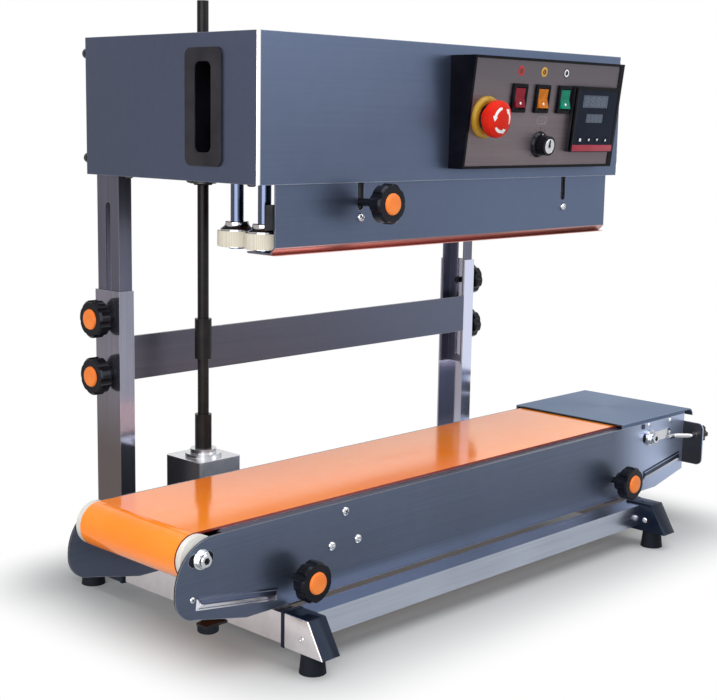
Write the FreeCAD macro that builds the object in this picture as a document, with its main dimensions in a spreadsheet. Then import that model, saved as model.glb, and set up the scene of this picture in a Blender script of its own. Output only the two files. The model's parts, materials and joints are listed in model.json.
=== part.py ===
import FreeCAD, Part
import math
import os
from types import SimpleNamespace

import Sketcher
from FreeCAD import Placement, Rotation, Vector

# Pouch packing machine: a height-adjustable sealing head on two posts above a belt conveyor.
# X runs along the conveyor, Y from the front to the back, Z up from the floor.
# The origin is on the floor in the middle of the machine.

doc = FreeCAD.newDocument("PouchPackingMachine")
sheet = doc.addObject("Spreadsheet::Sheet", "Sizes")

# Driving dimensions, in millimetres and degrees
sizes = [
    ("base_depth", 397, "front cap tip to rear cap tip"),
    ("post_margin", 26, "back of the posts before the rear cap tips"),
    ("sheet_gauge", 2, "bent sheet of the head, posts and conveyor sides"),
    ("slip_gap", 0.3, "gap between pieces that slide or turn past each other"),
    ("hole_clearance", 0.05, "radial clearance of a turning shaft in its hole"),
    ("head_length", 587, ""),
    ("head_depth", 273, ""),
    ("head_height", 141, ""),
    ("head_bottom", 447, "underside of the head above the floor, as pictured"),
    ("head_corner", 4, "bend radius of the upright edges of the cover"),
    ("floor_gauge", 3, "mounting plate that closes the head below"),
    ("bezel_left", -24, "left edge of the control bezel"),
    ("bezel_length", 273, ""),
    ("bezel_margin", 12, "bottom edge of the control bezel above the head's underside"),
    ("bezel_rise", 118, ""),
    ("bezel_top_depth", 34, ""),
    ("bezel_foot_depth", 19.5, ""),
    ("plate_margin", 3, "bezel border left of and above the control plate"),
    ("plate_end_margin", 8, "bezel border right of the control plate"),
    ("plate_gauge", 1.5, ""),
    ("stop_x", 4, "emergency stop along the bezel"),
    ("stop_height", 59, "emergency stop above the bottom edge of the face"),
    ("stop_ring_radius", 22.3, ""),
    ("stop_ring_length", 5, ""),
    ("stop_ring_step", 3, "straight part of the ring"),
    ("stop_ring_taper", 2, ""),
    ("stop_cap_radius", 19.5, ""),
    ("stop_cap_length", 13, ""),
    ("stop_stem_radius", 8, ""),
    ("stop_travel", 4, ""),
    ("plate_recess", 1, "control plate behind the face of the bezel"),
    ("stop_stem_inside", 8, "button stem behind the plate"),
    ("stop_cap_round", 4, ""),
    ("stop_cap_dome", 3, ""),
    ("rocker_border", 4, ""),
    ("rocker_play", 0.4, ""),
    ("rocker_swing_room", 0.8, ""),
    ("rocker_lean", 8, "lean of a rocker either way, in degrees"),
    ("rocker_wing", 1.5, "end of a rocker in front of its frame"),
    ("rocker_dip", 0.5, "middle of a rocker behind the front of its frame"),
    ("dial_tail", 6, "spindle behind the plate"),
    ("dial_skirt", 3, ""),
    ("dial_grip_radius", 11, ""),
    ("dial_edge", 1, "bevels of the dial"),
    ("dial_taper", 0.5, ""),
    ("controller_border", 4, ""),
    ("display_width", 48, ""),
    ("display_tall", 15, ""),
    ("small_display_width", 32, ""),
    ("small_display_height", 32, ""),
    ("small_display_tall", 11, ""),
    ("display_sunk", 0.8, ""),
    ("key_play", 0.3, ""),
    ("key_length", 4, ""),
    ("guard_screw_drop", 35, "lower guard screws below the head's underside"),
    ("wheel_head_radius", 8, ""),
    ("wheel_head_height", 1.9, ""),
    ("seal_belt_inset", 0.5, "belt edge inside the rim of a wheel"),
    ("block_play", 0.2, "block behind the belt"),
    ("rocker_first", 56, "first rocker switch along the bezel"),
    ("rocker_pitch", 41, ""),
    ("rocker_height", 76, "rocker centres above the bottom edge of the face"),
    ("rocker_width", 25, "frame of a rocker switch"),
    ("rocker_tall", 31, ""),
    ("rocker_proud", 3, ""),
    ("rocker_depth", 11, "depth of a rocker behind the plate"),
    ("dial_x", 104, "speed dial along the bezel"),
    ("dial_height", 26, ""),
    ("dial_radius", 14.5, ""),
    ("dial_length", 15, ""),
    ("dial_spindle", 3, "radius"),
    ("controller_x", 154, "left edge of the temperature controller"),
    ("controller_width", 84, ""),
    ("controller_foot", 18, "bottom edge above the bottom edge of the face"),
    ("controller_tall", 74, ""),
    ("controller_proud", 6, ""),
    ("controller_depth", 12, "part behind the plate"),
    ("display_height", 49, "windows above the bottom of the controller"),
    ("key_pitch", 16.8, ""),
    ("key_width", 9, ""),
    ("key_tall", 5, ""),
    ("key_height", 14, "keys above the bottom of the controller"),
    ("key_proud", 1.5, ""),
    ("key_travel", 0.8, ""),
    ("cup_setback", 77.5, "middle of the side handle behind the head front"),
    ("cup_width", 54, "flange of the recessed handle"),
    ("cup_tall", 112, ""),
    ("cup_slot_width", 25, ""),
    ("cup_slot_tall", 87, ""),
    ("cup_depth", 27, ""),
    ("cup_wall", 2, ""),
    ("cup_height", 71, "middle of the handle above the head's underside"),
    ("skirt_setback", 4, "front guard behind the head front"),
    ("skirt_left", 268, "left end of the guard from the middle"),
    ("skirt_right", 275, "right end of the guard from the middle"),
    ("skirt_drop", 60, "upright part of the guard"),
    ("skirt_lip", 7, "bent strip under the guard, both ways"),
    ("skirt_shelf", 33, "flat strip that runs back under the belts"),
    ("skirt_gauge", 1.5, ""),
    ("slot_left_x", -152.5, "left height slot of the guard"),
    ("slot_right_x", 188.6, "right height slot of the guard"),
    ("guard_stud_drop", 19.5, "guard studs below the head's underside"),
    ("guard_slot_half", 4.5, "half width of a guard slot"),
    ("guard_slot_reach", 27.7, "bottom of a guard slot below the head"),
    ("nip_setback", 50, "line where the sealing belts meet, behind the head front"),
    ("belt_wheel_radius", 18, ""),
    ("belt_wheel_width", 16, ""),
    ("belt_wheel_reach", 258, "wheel axis from the middle"),
    ("belt_wheel_drop", 63, "underside of the belt wheels below the head"),
    ("seal_belt_gauge", 1.2, ""),
    ("nip_gap", 1, "gap between the two sealing belts"),
    ("wheel_shaft_radius", 5.5, ""),
    ("wheel_nut_radius", 11, ""),
    ("wheel_nut_height", 7, ""),
    ("block_length", 110, "heating and cooling blocks"),
    ("block_depth", 13, ""),
    ("block_height", 13, ""),
    ("heater_x", -160, "left end of the heating blocks"),
    ("cooler_x", 20, "left end of the cooling blocks"),
    ("hanger_length", 12, "hanger that carries a block"),
    ("fin_pitch", 10, "cooling fins"),
    ("fin_slot", 3, ""),
    ("fin_depth", 6, ""),
    ("motor_radius", 42, ""),
    ("motor_length", 150, ""),
    ("motor_x", 60, "left end of the drive motor"),
    ("motor_setback", 205, "motor axis behind the head front"),
    ("motor_rise", 70, "motor axis above the head's underside"),
    ("post_reach", 291.5, "outer face of a post from the middle"),
    ("post_depth", 42, "post, front to back"),
    ("post_flange", 19, ""),
    ("post_setback", 219, "front of the posts behind the head front"),
    ("post_height", 272.5, ""),
    ("leg_length", 262, "inner leg under the head"),
    ("leg_slot_drop", 32, "top of the clamp slot below the head"),
    ("leg_slot_margin", 12, "bottom of the clamp slot above the foot of a leg"),
    ("leg_slot_width", 9, ""),
    ("clamp_high_drop", 29, "upper clamp knob below the top of a post"),
    ("clamp_low_drop", 90, "lower clamp knob below the top of a post"),
    ("crossbar_drop", 48, "top edge of the crossbar below the top of a post"),
    ("crossbar_width", 47, ""),
    ("crossbar_gauge", 3, ""),
    ("knob_radius", 20, ""),
    ("knob_length", 14, ""),
    ("knob_hub_radius", 11, ""),
    ("knob_hub_length", 8, ""),
    ("knob_notches", 7, ""),
    ("knob_notch_radius", 5.5, ""),
    ("knob_notch_depth", 2.6, ""),
    ("knob_round", 2, ""),
    ("knob_cap_radius", 9.5, ""),
    ("knob_cap_height", 1.5, ""),
    ("stud_radius", 4, ""),
    ("stud_clearance", 0.08, ""),
    ("stud_end", 6, "stud past the sheet that it clamps"),
    ("guard_stud_end", 8, "guard stud behind the guard"),
    ("guard_knob_gap", 22, "knob hub in front of the guard"),
    ("foot_left_x", -298.4, "middle of the left cross tube"),
    ("foot_right_x", 277.8, "middle of the right cross tube"),
    ("tube_width", 20, "cross tubes"),
    ("tube_height", 30, ""),
    ("tube_foot", 21.5, "underside of the cross tubes above the floor"),
    ("cap_wall", 2, "sleeve caps over the tube ends"),
    ("seam_margin", 10.5, "end of a front cap before the front side plate"),
    ("rear_seam", 94, "rear cap edge before the tip"),
    ("cap_slope", 20, "how far the foot of a cap runs past its top"),
    ("cap_socket", 31, "depth of the tube in a front cap"),
    ("foot_radius", 13, ""),
    ("foot_taper", 2, ""),
    ("foot_inset", 24.7, "front foot behind the cap tip"),
    ("long_tube_size", 25, "tubes between the cross tubes"),
    ("long_tube_wall", 2, ""),
    ("front_tube_setback", 35, "front tube behind the cap tips"),
    ("front_tube_foot", 26.5, ""),
    ("rear_tube_inset", 59, "front of the rear tube before the rear tips"),
    ("conveyor_overhang", 44.5, "front plate before the head front"),
    ("conveyor_width", 163.5, "over both side plates"),
    ("nose_x", -428, "left end of the side plates"),
    ("nose_round", 46, "upper round of the nose"),
    ("chin_round", 24, "lower round of the nose"),
    ("nose_flat", 4, "upright stretch between the rounds"),
    ("plate_height", 86.5, ""),
    ("taper_start", 345, "where the lower edge starts to rise, from the middle"),
    ("plate_end", 407.6, "right end of the side plates"),
    ("plate_end_rise", 14, "lower right corner above the lower edge"),
    ("flange_width", 7, "inward flange along the top"),
    ("top_flange_start", -372, ""),
    ("lower_flange_left", 255, "reach of the lower flange from the middle"),
    ("lower_flange_right", 234, ""),
    ("tension_flange", 29, "outward flange at the right end"),
    ("tension_margin", 23, "ear above the lower edge of the side plates"),
    ("tension_ear_height", 54, ""),
    ("tension_round", 8, ""),
    ("tension_out", 17.5, "tension rod in front of the side plate"),
    ("tension_rise", 62, "tension rods above the lower edge of the side plates"),
    ("rod_radius", 3, ""),
    ("hook_length", 45, ""),
    ("tension_knob_radius", 11, ""),
    ("tension_knob_length", 12, ""),
    ("rib_height", 9, "pressed rib beside each end of the side plates"),
    ("rib_depth", 1.5, ""),
    ("rib_near", 308, "inner end of the ribs from the middle"),
    ("rib_far", 402, "outer end of the left ribs"),
    ("rib_far_rise", 27, "rib middle at its outer end, above the lower edge"),
    ("rib_near_rise", 14, "rib middle at its inner end, above the lower edge"),
    ("rib_right_far", 398, "outer end of the right ribs"),
    ("rib_right_near", 318, "inner end of the right ribs"),
    ("rib_right_far_rise", 32, ""),
    ("rib_right_near_rise", 19, ""),
    ("roller_radius", 19.5, ""),
    ("left_roller_x", -398.5, ""),
    ("right_roller_x", 325, ""),
    ("roller_drop", 19, "end roller axes below the top of the side plates"),
    ("belt_gauge", 2.2, ""),
    ("belt_margin", 10.5, "belt edge from the outside of a side plate"),
    ("roller_margin", 9.5, "roller end from the outside of a side plate"),
    ("axle_radius", 6, ""),
    ("axle_slot_reach", 8, "room for the axle to move in its slot, each way"),
    ("axle_head_radius", 8, ""),
    ("hook_eye_radius", 10, "eye of the tension plate round the axle"),
    ("axle_head_height", 6, ""),
    ("disc_radius", 21.3, ""),
    ("disc_gauge", 6.5, ""),
    ("shaft_x", -216.8, "upright drive shaft and drive roller"),
    ("shaft_setback", 172, "upright shaft behind the head front"),
    ("drive_drop", 30.9, "drive roller axis below the top of the side plates"),
    ("journal_radius", 8, ""),
    ("bearing_radius", 27, ""),
    ("bearing_gauge", 6.5, ""),
    ("bearing_bolt_circle", 21, "radius of the three bearing screws"),
    ("screw_radius", 4.5, "dome screw heads"),
    ("screw_height", 2.6, ""),
    ("screw_dome", 1, ""),
    ("gearbox_size", 58, ""),
    ("gearbox_height", 72, ""),
    ("gearbox_rise", 38.4, "top of the gearbox above the drive roller axis"),
    ("gearbox_corner", 4, ""),
    ("gear_neck_radius", 17, ""),
    ("gear_flange_radius", 19.5, ""),
    ("gear_flange_gauge", 3.5, ""),
    ("gear_nut_radius", 14, ""),
    ("gear_nut_height", 4.5, ""),
    ("upright_radius", 6, ""),
    ("upright_proud", 38.5, "upright shaft above the head"),
    ("coupling_radius", 9, ""),
    ("coupling_height", 43, "upper coupling sleeve"),
    ("coupling_rise", 98, "upper coupling above the gearbox nut"),
    ("lower_coupling_height", 37, ""),
    ("shaft_spigot", 20, "shaft end held in the gearbox"),
    ("collar_radius", 14, "bush under the head round the upright shaft"),
    ("collar_height", 7, ""),
    ("bed_gauge", 2, ""),
    ("bed_left", -368, ""),
    ("bed_right", 290, ""),
    ("bed_lip", 9, ""),
    ("spacer_radius", 7, ""),
    ("spacer_left_x", -330, "left spacer tube between the side plates"),
    ("spacer_right_x", 270, "right spacer tube"),
    ("spacer_count", 4, ""),
    ("bed_drop", 0.2, "bed below the underside of the belt"),
    ("bed_side_gap", 1, "slider bed beside the top flanges"),
    ("journal_reach", 7, "journal in front of the drive roller"),
    ("journal_stop", 4, "end of the journal before the upright shaft"),
    ("hook_gauge", 3, "eye plate of a tension rod"),
    ("hook_width", 12, ""),
    ("rod_bend", 8, "bend radius of a tension rod"),
    ("rod_lead", 6, "straight rod beside the end of its eye plate"),
    ("tension_notch_radius", 4, ""),
    ("tension_notch_offset", 1.8, ""),
    ("tension_notches", 6, ""),
    ("shaft_room", 0.5, "room round the upright shaft in the sheet metal"),
    ("cup_corner", 8, ""),
    ("saddle_gauge", 2.5, ""),
    ("saddle_length", 50, ""),
    ("saddle_height", 50, ""),
    ("conveyor_knob_left", -283, ""),
    ("conveyor_knob_right", 250, ""),
    ("conveyor_knob_rise", 26, "star knobs above the lower edge of the side plates"),
    ("conveyor_knob_gap", 8.5, "knob hub in front of the side plate"),
    ("cover_left", 265, "left edge of the end cover"),
    ("cover_right", 428, ""),
    ("cover_drop", 10, "rounded right edge of the end cover"),
    ("cover_gap", 0.5, "end cover above the belt"),
    ("cover_gauge", 1.5, ""),
]



class Size:
    """A length or angle with its value now and the formula that binds it to the sheet."""

    def __init__(self, value, text=None):
        self.value = float(value)
        self.text = text or repr(float(value))

    def combine(self, other, sign, result):
        other = as_size(other)
        return Size(result(self.value, other.value), "(%s %s %s)" % (self.text, sign, other.text))

    def __add__(self, other):
        return self.combine(other, "+", lambda a, b: a + b)

    def __radd__(self, other):
        return as_size(other) + self

    def __sub__(self, other):
        return self.combine(other, "-", lambda a, b: a - b)

    def __rsub__(self, other):
        return as_size(other) - self

    def __mul__(self, other):
        return self.combine(other, "*", lambda a, b: a * b)

    def __rmul__(self, other):
        return as_size(other) * self

    def __truediv__(self, other):
        return self.combine(other, "/", lambda a, b: a / b)

    def __rtruediv__(self, other):
        return as_size(other) / self

    def __neg__(self):
        return Size(-self.value, "(-1 * %s)" % self.text)


def as_size(amount):
    return amount if isinstance(amount, Size) else Size(amount)


def sin(angle):
    return Size(math.sin(math.radians(angle.value)), "sin(%s)" % angle.text)


def cos(angle):
    return Size(math.cos(math.radians(angle.value)), "cos(%s)" % angle.text)


def atan(ratio):
    return Size(math.degrees(math.atan(ratio.value)), "atan(%s)" % ratio.text)


d = SimpleNamespace()
for row, (alias, amount, note) in enumerate(sizes, start=1):
    sheet.set("A%d" % row, alias)
    sheet.set("B%d" % row, str(amount))
    sheet.set("C%d" % row, note)
    sheet.setAlias("B%d" % row, alias)
    setattr(d, alias, Size(amount, "Sizes." + alias))
doc.recompute()


# Places worked out from the driving dimensions
front_tip = -d.base_depth / 2
rear_tip = d.base_depth / 2
cap_foot = d.tube_foot - d.cap_wall
cap_top = d.tube_foot + d.tube_height + d.cap_wall
cap_width = d.tube_width + 2 * d.cap_wall
left_inner = d.foot_left_x + cap_width / 2
right_inner = d.foot_right_x - cap_width / 2

post_back = rear_tip - d.post_margin
post_front = post_back - d.post_depth
post_middle = post_front + d.post_depth / 2
post_inner = d.post_reach - d.post_flange
post_top = cap_top + d.post_height
clamp_high = post_top - d.clamp_high_drop
clamp_low = post_top - d.clamp_low_drop
crossbar_foot = post_top - d.crossbar_drop - d.crossbar_width

face_y = post_front - d.post_setback
head_left = -d.head_length / 2
head_right = d.head_length / 2
floor_top = d.head_bottom + d.floor_gauge
bezel_foot = d.head_bottom + d.bezel_margin
bezel_tilt = atan((d.bezel_top_depth - d.bezel_foot_depth) / d.bezel_rise)
face_rise = d.bezel_rise / cos(bezel_tilt)
bezel_face_y = face_y - d.bezel_foot_depth
skirt_y = face_y + d.skirt_setback
skirt_bottom = d.head_bottom - d.skirt_drop
shelf_z = skirt_bottom - d.skirt_lip
guard_stud_z = d.head_bottom - d.guard_stud_drop

nip_y = face_y + d.nip_setback
wheel_offset = d.belt_wheel_radius + d.slip_gap + d.seal_belt_gauge + d.nip_gap / 2
belt_wheel_foot = d.head_bottom - d.belt_wheel_drop
wheel_top = belt_wheel_foot + d.belt_wheel_width
seal_inner = d.belt_wheel_radius + d.slip_gap
seal_outer = seal_inner + d.seal_belt_gauge

leg_outer = d.post_reach - d.sheet_gauge - d.slip_gap
leg_inner = leg_outer - d.post_flange + d.sheet_gauge + 2 * d.slip_gap
leg_front = post_front + d.sheet_gauge + d.slip_gap
leg_back = post_back - d.sheet_gauge - d.slip_gap
leg_foot = d.head_bottom - d.leg_length

saddle_top = d.tube_foot + d.tube_height + d.saddle_gauge
plate_foot = saddle_top
plate_top = plate_foot + d.plate_height
front_plate_y = face_y - d.conveyor_overhang
back_plate_y = front_plate_y + d.conveyor_width
front_seam = front_plate_y - d.seam_margin - front_tip
roller_height = plate_top - d.roller_drop
drive_height = plate_top - d.drive_drop
conveyor_knob_height = plate_foot + d.conveyor_knob_rise
tension_height = plate_foot + d.tension_rise
tension_foot = plate_foot + d.tension_margin
tension_top = tension_foot + d.tension_ear_height
bed_top = roller_height + d.roller_radius + d.slip_gap - d.bed_drop
belt_inner = d.roller_radius + d.slip_gap
belt_outer = belt_inner + d.belt_gauge
belt_top = roller_height + belt_outer
belt_front = front_plate_y + d.belt_margin
belt_back = back_plate_y - d.belt_margin
roller_front = front_plate_y + d.roller_margin
roller_back = back_plate_y - d.roller_margin
roller_length = d.conveyor_width - 2 * d.roller_margin
slope_left = atan((roller_height - drive_height) / (d.shaft_x - d.left_roller_x))
slope_right = atan((roller_height - drive_height) / (d.right_roller_x - d.shaft_x))
cover_foot = belt_top + d.cover_gap
cover_top = cover_foot + d.cover_gauge

shaft_y = face_y + d.shaft_setback
upright_top = d.head_bottom + d.head_height + d.upright_proud
gearbox_front = shaft_y - d.gearbox_size / 2
gearbox_top = drive_height + d.gearbox_rise
gear_flange_top = gearbox_top + d.gear_flange_gauge
gear_nut_top = gear_flange_top + d.gear_nut_height
coupling_foot = gear_nut_top + d.coupling_rise


# Modelling helpers
nodes = {}
up = Rotation()
toward_front = Rotation(Vector(1, 0, 0), 90)
toward_back = Rotation(Vector(1, 0, 0), -90)
toward_left = Rotation(Vector(0, 1, 0), -90)
toward_right = Rotation(Vector(0, 1, 0), 90)
half_turn = Rotation(Vector(0, 0, 1), 180)


def bind(thing, setting, amount):
    thing.setExpression(setting, as_size(amount).text)


def place(thing, x, y, z, rotation=up):
    thing.Placement = Placement(Vector(0, 0, 0), rotation)
    for axis, amount in (("x", x), ("y", y), ("z", z)):
        bind(thing, "Placement.Base." + axis, amount)
    return thing


def tilt(thing, angle):
    """Lean a piece about X by an angle from the sheet."""
    thing.Placement = Placement(thing.Placement.Base, Rotation(Vector(1, 0, 0), angle.value))
    bind(thing, "Placement.Rotation.Angle", angle)
    return thing


def block(name, x, y, z, length, width, height):
    thing = doc.addObject("Part::Box", name)
    bind(thing, "Length", length)
    bind(thing, "Width", width)
    bind(thing, "Height", height)
    return place(thing, x, y, z)


def rod(name, x, y, z, radius, height, rotation=up):
    thing = doc.addObject("Part::Cylinder", name)
    bind(thing, "Radius", radius)
    bind(thing, "Height", height)
    return place(thing, x, y, z, rotation)


def join(name, *pieces):
    thing = doc.addObject("Part::MultiFuse", name)
    thing.Shapes = list(pieces)
    return thing


def cut(name, base, *tools):
    thing = doc.addObject("Part::Cut", name)
    thing.Base = base
    thing.Tool = tools[0] if len(tools) == 1 else join(name + "_tools", *tools)
    return thing


def group(name, *pieces):
    thing = doc.addObject("Part::Compound", name)
    thing.Links = list(pieces)
    return thing


def keep(name, thing):
    thing.Label = name
    nodes[name] = thing
    return thing


def new_body(name, x, y, z, rotation=up):
    return place(doc.addObject("PartDesign::Body", name), x, y, z, rotation)


def sketch_on(body, role, offset=0):
    sketch = body.newObject("Sketcher::SketchObject", body.Name + "_sketch")
    plane = next(item for item in body.Origin.OriginFeatures if item.Role == role)
    sketch.AttachmentSupport = [(plane, "")]
    sketch.MapMode = "FlatFace"
    bind(sketch, "AttachmentOffset.Base.z", offset)
    return sketch


def pin_point(sketch, geometry, end, x, y, axes="XY"):
    for axis, amount in (("X", x), ("Y", y)):
        if axis in axes:
            amount = as_size(amount)
            index = sketch.addConstraint(
                Sketcher.Constraint("Distance" + axis, -1, 1, geometry, end, amount.value))
            sketch.setExpression("Constraints[%d]" % index, amount.text)


def outline(sketch, corners, closed=True):
    """Draw a chain of corners: (x, y), or (x, y, centre x, centre y, way) where an arc starts."""
    count = len(corners)
    first = sketch.GeometryCount
    ends = []
    for i in range(count if closed else count - 1):
        start = [as_size(v).value for v in corners[i][:2]]
        stop = [as_size(v).value for v in corners[(i + 1) % count][:2]]
        if len(corners[i]) == 2:
            sketch.addGeometry(Part.LineSegment(Vector(*start, 0), Vector(*stop, 0)))
            ends.append((1, 2))
            continue
        centre = [as_size(v).value for v in corners[i][2:4]]
        anticlockwise = corners[i][4] == "left"
        begin, end = (start, stop) if anticlockwise else (stop, start)
        angles = [math.atan2(p[1] - centre[1], p[0] - centre[0]) for p in (begin, end)]
        if angles[1] <= angles[0]:
            angles[1] += 2 * math.pi
        circle = Part.Circle(Vector(*centre, 0), Vector(0, 0, 1), math.dist(start, centre))
        sketch.addGeometry(Part.ArcOfCircle(circle, *angles))
        ends.append((1, 2) if anticlockwise else (2, 1))
    drawn = len(ends)
    for i in range(drawn if closed else drawn - 1):
        following = (i + 1) % drawn
        sketch.addConstraint(Sketcher.Constraint(
            "Coincident", first + i, ends[i][1], first + following, ends[following][0]))
    for i in range(drawn):
        x, y = corners[i][:2]
        axes = "XY"
        before = corners[i - 1] if (closed or i) else corners[i][:2]
        if len(before) == 5:
            reach = [abs(as_size(a).value - as_size(b).value) for a, b in zip((x, y), before[2:4])]
            axes = "X" if reach[1] > reach[0] else "Y"
        pin_point(sketch, first + i, ends[i][0], x, y, axes)
        if len(corners[i]) == 5:
            pin_point(sketch, first + i, 3, corners[i][2], corners[i][3])
    if not closed:
        pin_point(sketch, first + drawn - 1, ends[-1][1], *corners[-1][:2])
    return sketch


def rectangle(sketch, x, y, length, height):
    return outline(sketch, [(x, y), (x + length, y), (x + length, y + height), (x, y + height)])


def circle_at(sketch, x, y, radius):
    radius = as_size(radius)
    centre = Vector(as_size(x).value, as_size(y).value, 0)
    index = sketch.addGeometry(Part.Circle(centre, Vector(0, 0, 1), radius.value))
    pin_point(sketch, index, 3, x, y)
    number = sketch.addConstraint(Sketcher.Constraint("Radius", index, radius.value))
    sketch.setExpression("Constraints[%d]" % number, radius.text)
    return sketch


def long_hole(sketch, x, y, reach, radius):
    """A level slot whose round ends are centred a reach left and right of a point."""
    return outline(sketch, [
        (x - reach, y - radius), (x + reach, y - radius, x + reach, y, "left"),
        (x + reach, y + radius), (x - reach, y + radius, x - reach, y, "left")])


def pad(body, sketch, length, back=False):
    feature = body.newObject("PartDesign::Pad", body.Name + "_pad")
    feature.Profile = sketch
    bind(feature, "Length", length)
    feature.Reversed = back
    return feature


def pocket(body, sketch, length, back=False):
    """Cut a sketch into a body and make sure that it took something away."""
    doc.recompute()
    before = body.Shape.Volume
    feature = body.newObject("PartDesign::Pocket", body.Name + "_pocket")
    feature.Profile = sketch
    bind(feature, "Length", length)
    feature.Reversed = back
    doc.recompute()
    if body.Shape.Volume > before - 0.5:
        raise RuntimeError("nothing was cut from " + body.Name)
    return feature


def revolve(body, sketch, axis="V_Axis"):
    feature = body.newObject("PartDesign::Revolution", body.Name + "_turned")
    feature.Profile = sketch
    feature.ReferenceAxis = (sketch, [axis])
    feature.Angle = 360
    return feature


def repeat_round(body, feature, count, role="Z_Axis"):
    pattern = body.newObject("PartDesign::PolarPattern", body.Name + "_round")
    pattern.Originals = [feature]
    axis = next(item for item in body.Origin.OriginFeatures if item.Role == role)
    pattern.Axis = (axis, [""])
    pattern.Angle = 360
    pattern.setExpression("Occurrences", count.text)
    body.Tip = pattern
    return pattern


def repeat_along(body, feature, role, pitch, count):
    pattern = body.newObject("PartDesign::LinearPattern", body.Name + "_row")
    pattern.Originals = [feature]
    axis = next(item for item in body.Origin.OriginFeatures if item.Role == role)
    pattern.Direction = (axis, [""])
    pattern.Occurrences = count
    pattern.setExpression("Length", "(%s) * %d" % (pitch.text, count - 1))
    body.Tip = pattern
    return pattern


def round_edges(body, radius, chosen):
    """Fillet the edges for which the test on their middle and direction is true."""
    doc.recompute()
    tip = body.Tip
    names = []
    for index, edge in enumerate(tip.Shape.Edges, start=1):
        middle = edge.valueAt((edge.FirstParameter + edge.LastParameter) / 2)
        along = edge.tangentAt((edge.FirstParameter + edge.LastParameter) / 2)
        if chosen(middle, along):
            names.append("Edge%d" % index)
    feature = body.newObject("PartDesign::Fillet", body.Name + "_round_edges")
    feature.Base = (tip, names)
    bind(feature, "Radius", radius)
    return feature


# Base: cross tubes, sleeve caps, rubber feet and the tubes between them
def hollow_tube(name, x, y, z, length, width, height, along):
    wall = d.long_tube_wall
    outer = block(name + "_outside", x, y, z, length, width, height)
    if along == "x":
        inner = block(name + "_inside", x, y + wall, z + wall, length, width - 2 * wall, height - 2 * wall)
    else:
        inner = block(name + "_inside", x + wall, y, z + wall, length - 2 * wall, width, height - 2 * wall)
    return cut(name, outer, inner)


cross_tube_start = front_tip + front_seam - d.cap_socket
cross_tube_end = rear_tip - d.rear_seam + d.cap_socket
keep("cross_tubes", group("cross_tubes", *[
    hollow_tube(name, middle - d.tube_width / 2, cross_tube_start, d.tube_foot,
                d.tube_width, cross_tube_end - cross_tube_start, d.tube_height, "y")
    for name, middle in (("left_cross_tube", d.foot_left_x), ("right_cross_tube", d.foot_right_x))]))

rear_tube_foot = cap_top - d.long_tube_size
keep("long_tubes", group(
    "long_tubes",
    hollow_tube("front_tube", left_inner, front_tip + d.front_tube_setback, d.front_tube_foot,
                right_inner - left_inner, d.long_tube_size, d.long_tube_size, "x"),
    hollow_tube("rear_tube", left_inner, rear_tip - d.rear_tube_inset, rear_tube_foot,
                right_inner - left_inner, d.long_tube_size, d.long_tube_size, "x")))


def sleeve_cap(name, x, y, seam, rotation):
    """Cap with a sloping foot, closed at its tip and open towards the tube."""
    body = new_body(name, x, y, cap_foot, rotation)
    height = cap_top - cap_foot
    profile = outline(sketch_on(body, "YZ_Plane", -cap_width / 2), [
        (0, 0), (seam, 0), (seam, height), (d.cap_slope, height)])
    pad(body, profile, cap_width)
    socket = rectangle(sketch_on(body, "XZ_Plane", -seam),
                       -d.tube_width / 2, d.cap_wall, d.tube_width, d.tube_height)
    pocket(body, socket, d.cap_socket, back=True)
    return body


caps = []
feet = []
for side, middle in (("left", d.foot_left_x), ("right", d.foot_right_x)):
    caps.append(sleeve_cap(side + "_front_cap", middle, front_tip, front_seam, up))
    caps.append(sleeve_cap(side + "_rear_cap", middle, rear_tip, d.rear_seam, half_turn))
    for end, depth in (("front", front_tip + d.foot_inset), ("rear", rear_tip - d.foot_inset)):
        foot = doc.addObject("Part::Cone", side + "_" + end + "_foot")
        bind(foot, "Radius1", d.foot_radius)
        bind(foot, "Radius2", d.foot_radius - d.foot_taper)
        bind(foot, "Height", cap_foot)
        feet.append(place(foot, middle, depth, 0))
keep("base_caps", group("base_caps", *caps))
keep("rubber_feet", group("rubber_feet", *feet))


# Posts and the inner legs that slide in them
def channel(name, x, y, z, depth, flange, height, rotation):
    """Upright channel, web outside, open towards the middle of the machine."""
    body = new_body(name, x, y, z, rotation)
    wall = d.sheet_gauge
    profile = outline(sketch_on(body, "XY_Plane"), [
        (0, 0), (flange, 0), (flange, wall), (wall, wall),
        (wall, depth - wall), (flange, depth - wall), (flange, depth), (0, depth)])
    pad(body, profile, height)
    return body


posts = []
legs = []
for side, rotation, sign in (("left", up, -1), ("right", half_turn, 1)):
    post = channel(side + "_post", sign * d.post_reach, post_front if sign < 0 else post_back, cap_top,
                   d.post_depth, d.post_flange, post_top - cap_top, rotation)
    for height in (clamp_high, clamp_low):
        hole = circle_at(sketch_on(post, "YZ_Plane"), d.post_depth / 2, height - cap_top,
                         d.stud_radius + d.stud_clearance)
        pocket(post, hole, d.sheet_gauge, back=True)
    posts.append(post)

    leg_depth = leg_back - leg_front
    leg = channel(side + "_leg", sign * leg_outer, leg_front if sign < 0 else leg_back, leg_foot,
                  leg_depth, leg_outer - leg_inner, d.leg_length, rotation)
    half = d.leg_slot_width / 2
    low = d.leg_slot_margin
    high = d.leg_length - d.leg_slot_drop
    middle = leg_depth / 2
    clamp_slot = outline(sketch_on(leg, "YZ_Plane"), [
        (middle - half, low, middle, low, "left"), (middle + half, low),
        (middle + half, high, middle, high, "left"), (middle - half, high)])
    pocket(leg, clamp_slot, d.sheet_gauge, back=True)
    legs.append(leg)
keep("posts", group("posts", *posts))
keep("legs", group("legs", *legs))

keep("crossbar", block("crossbar", -post_inner, post_front, crossbar_foot,
                       2 * post_inner, d.crossbar_gauge, d.crossbar_width))


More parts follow.
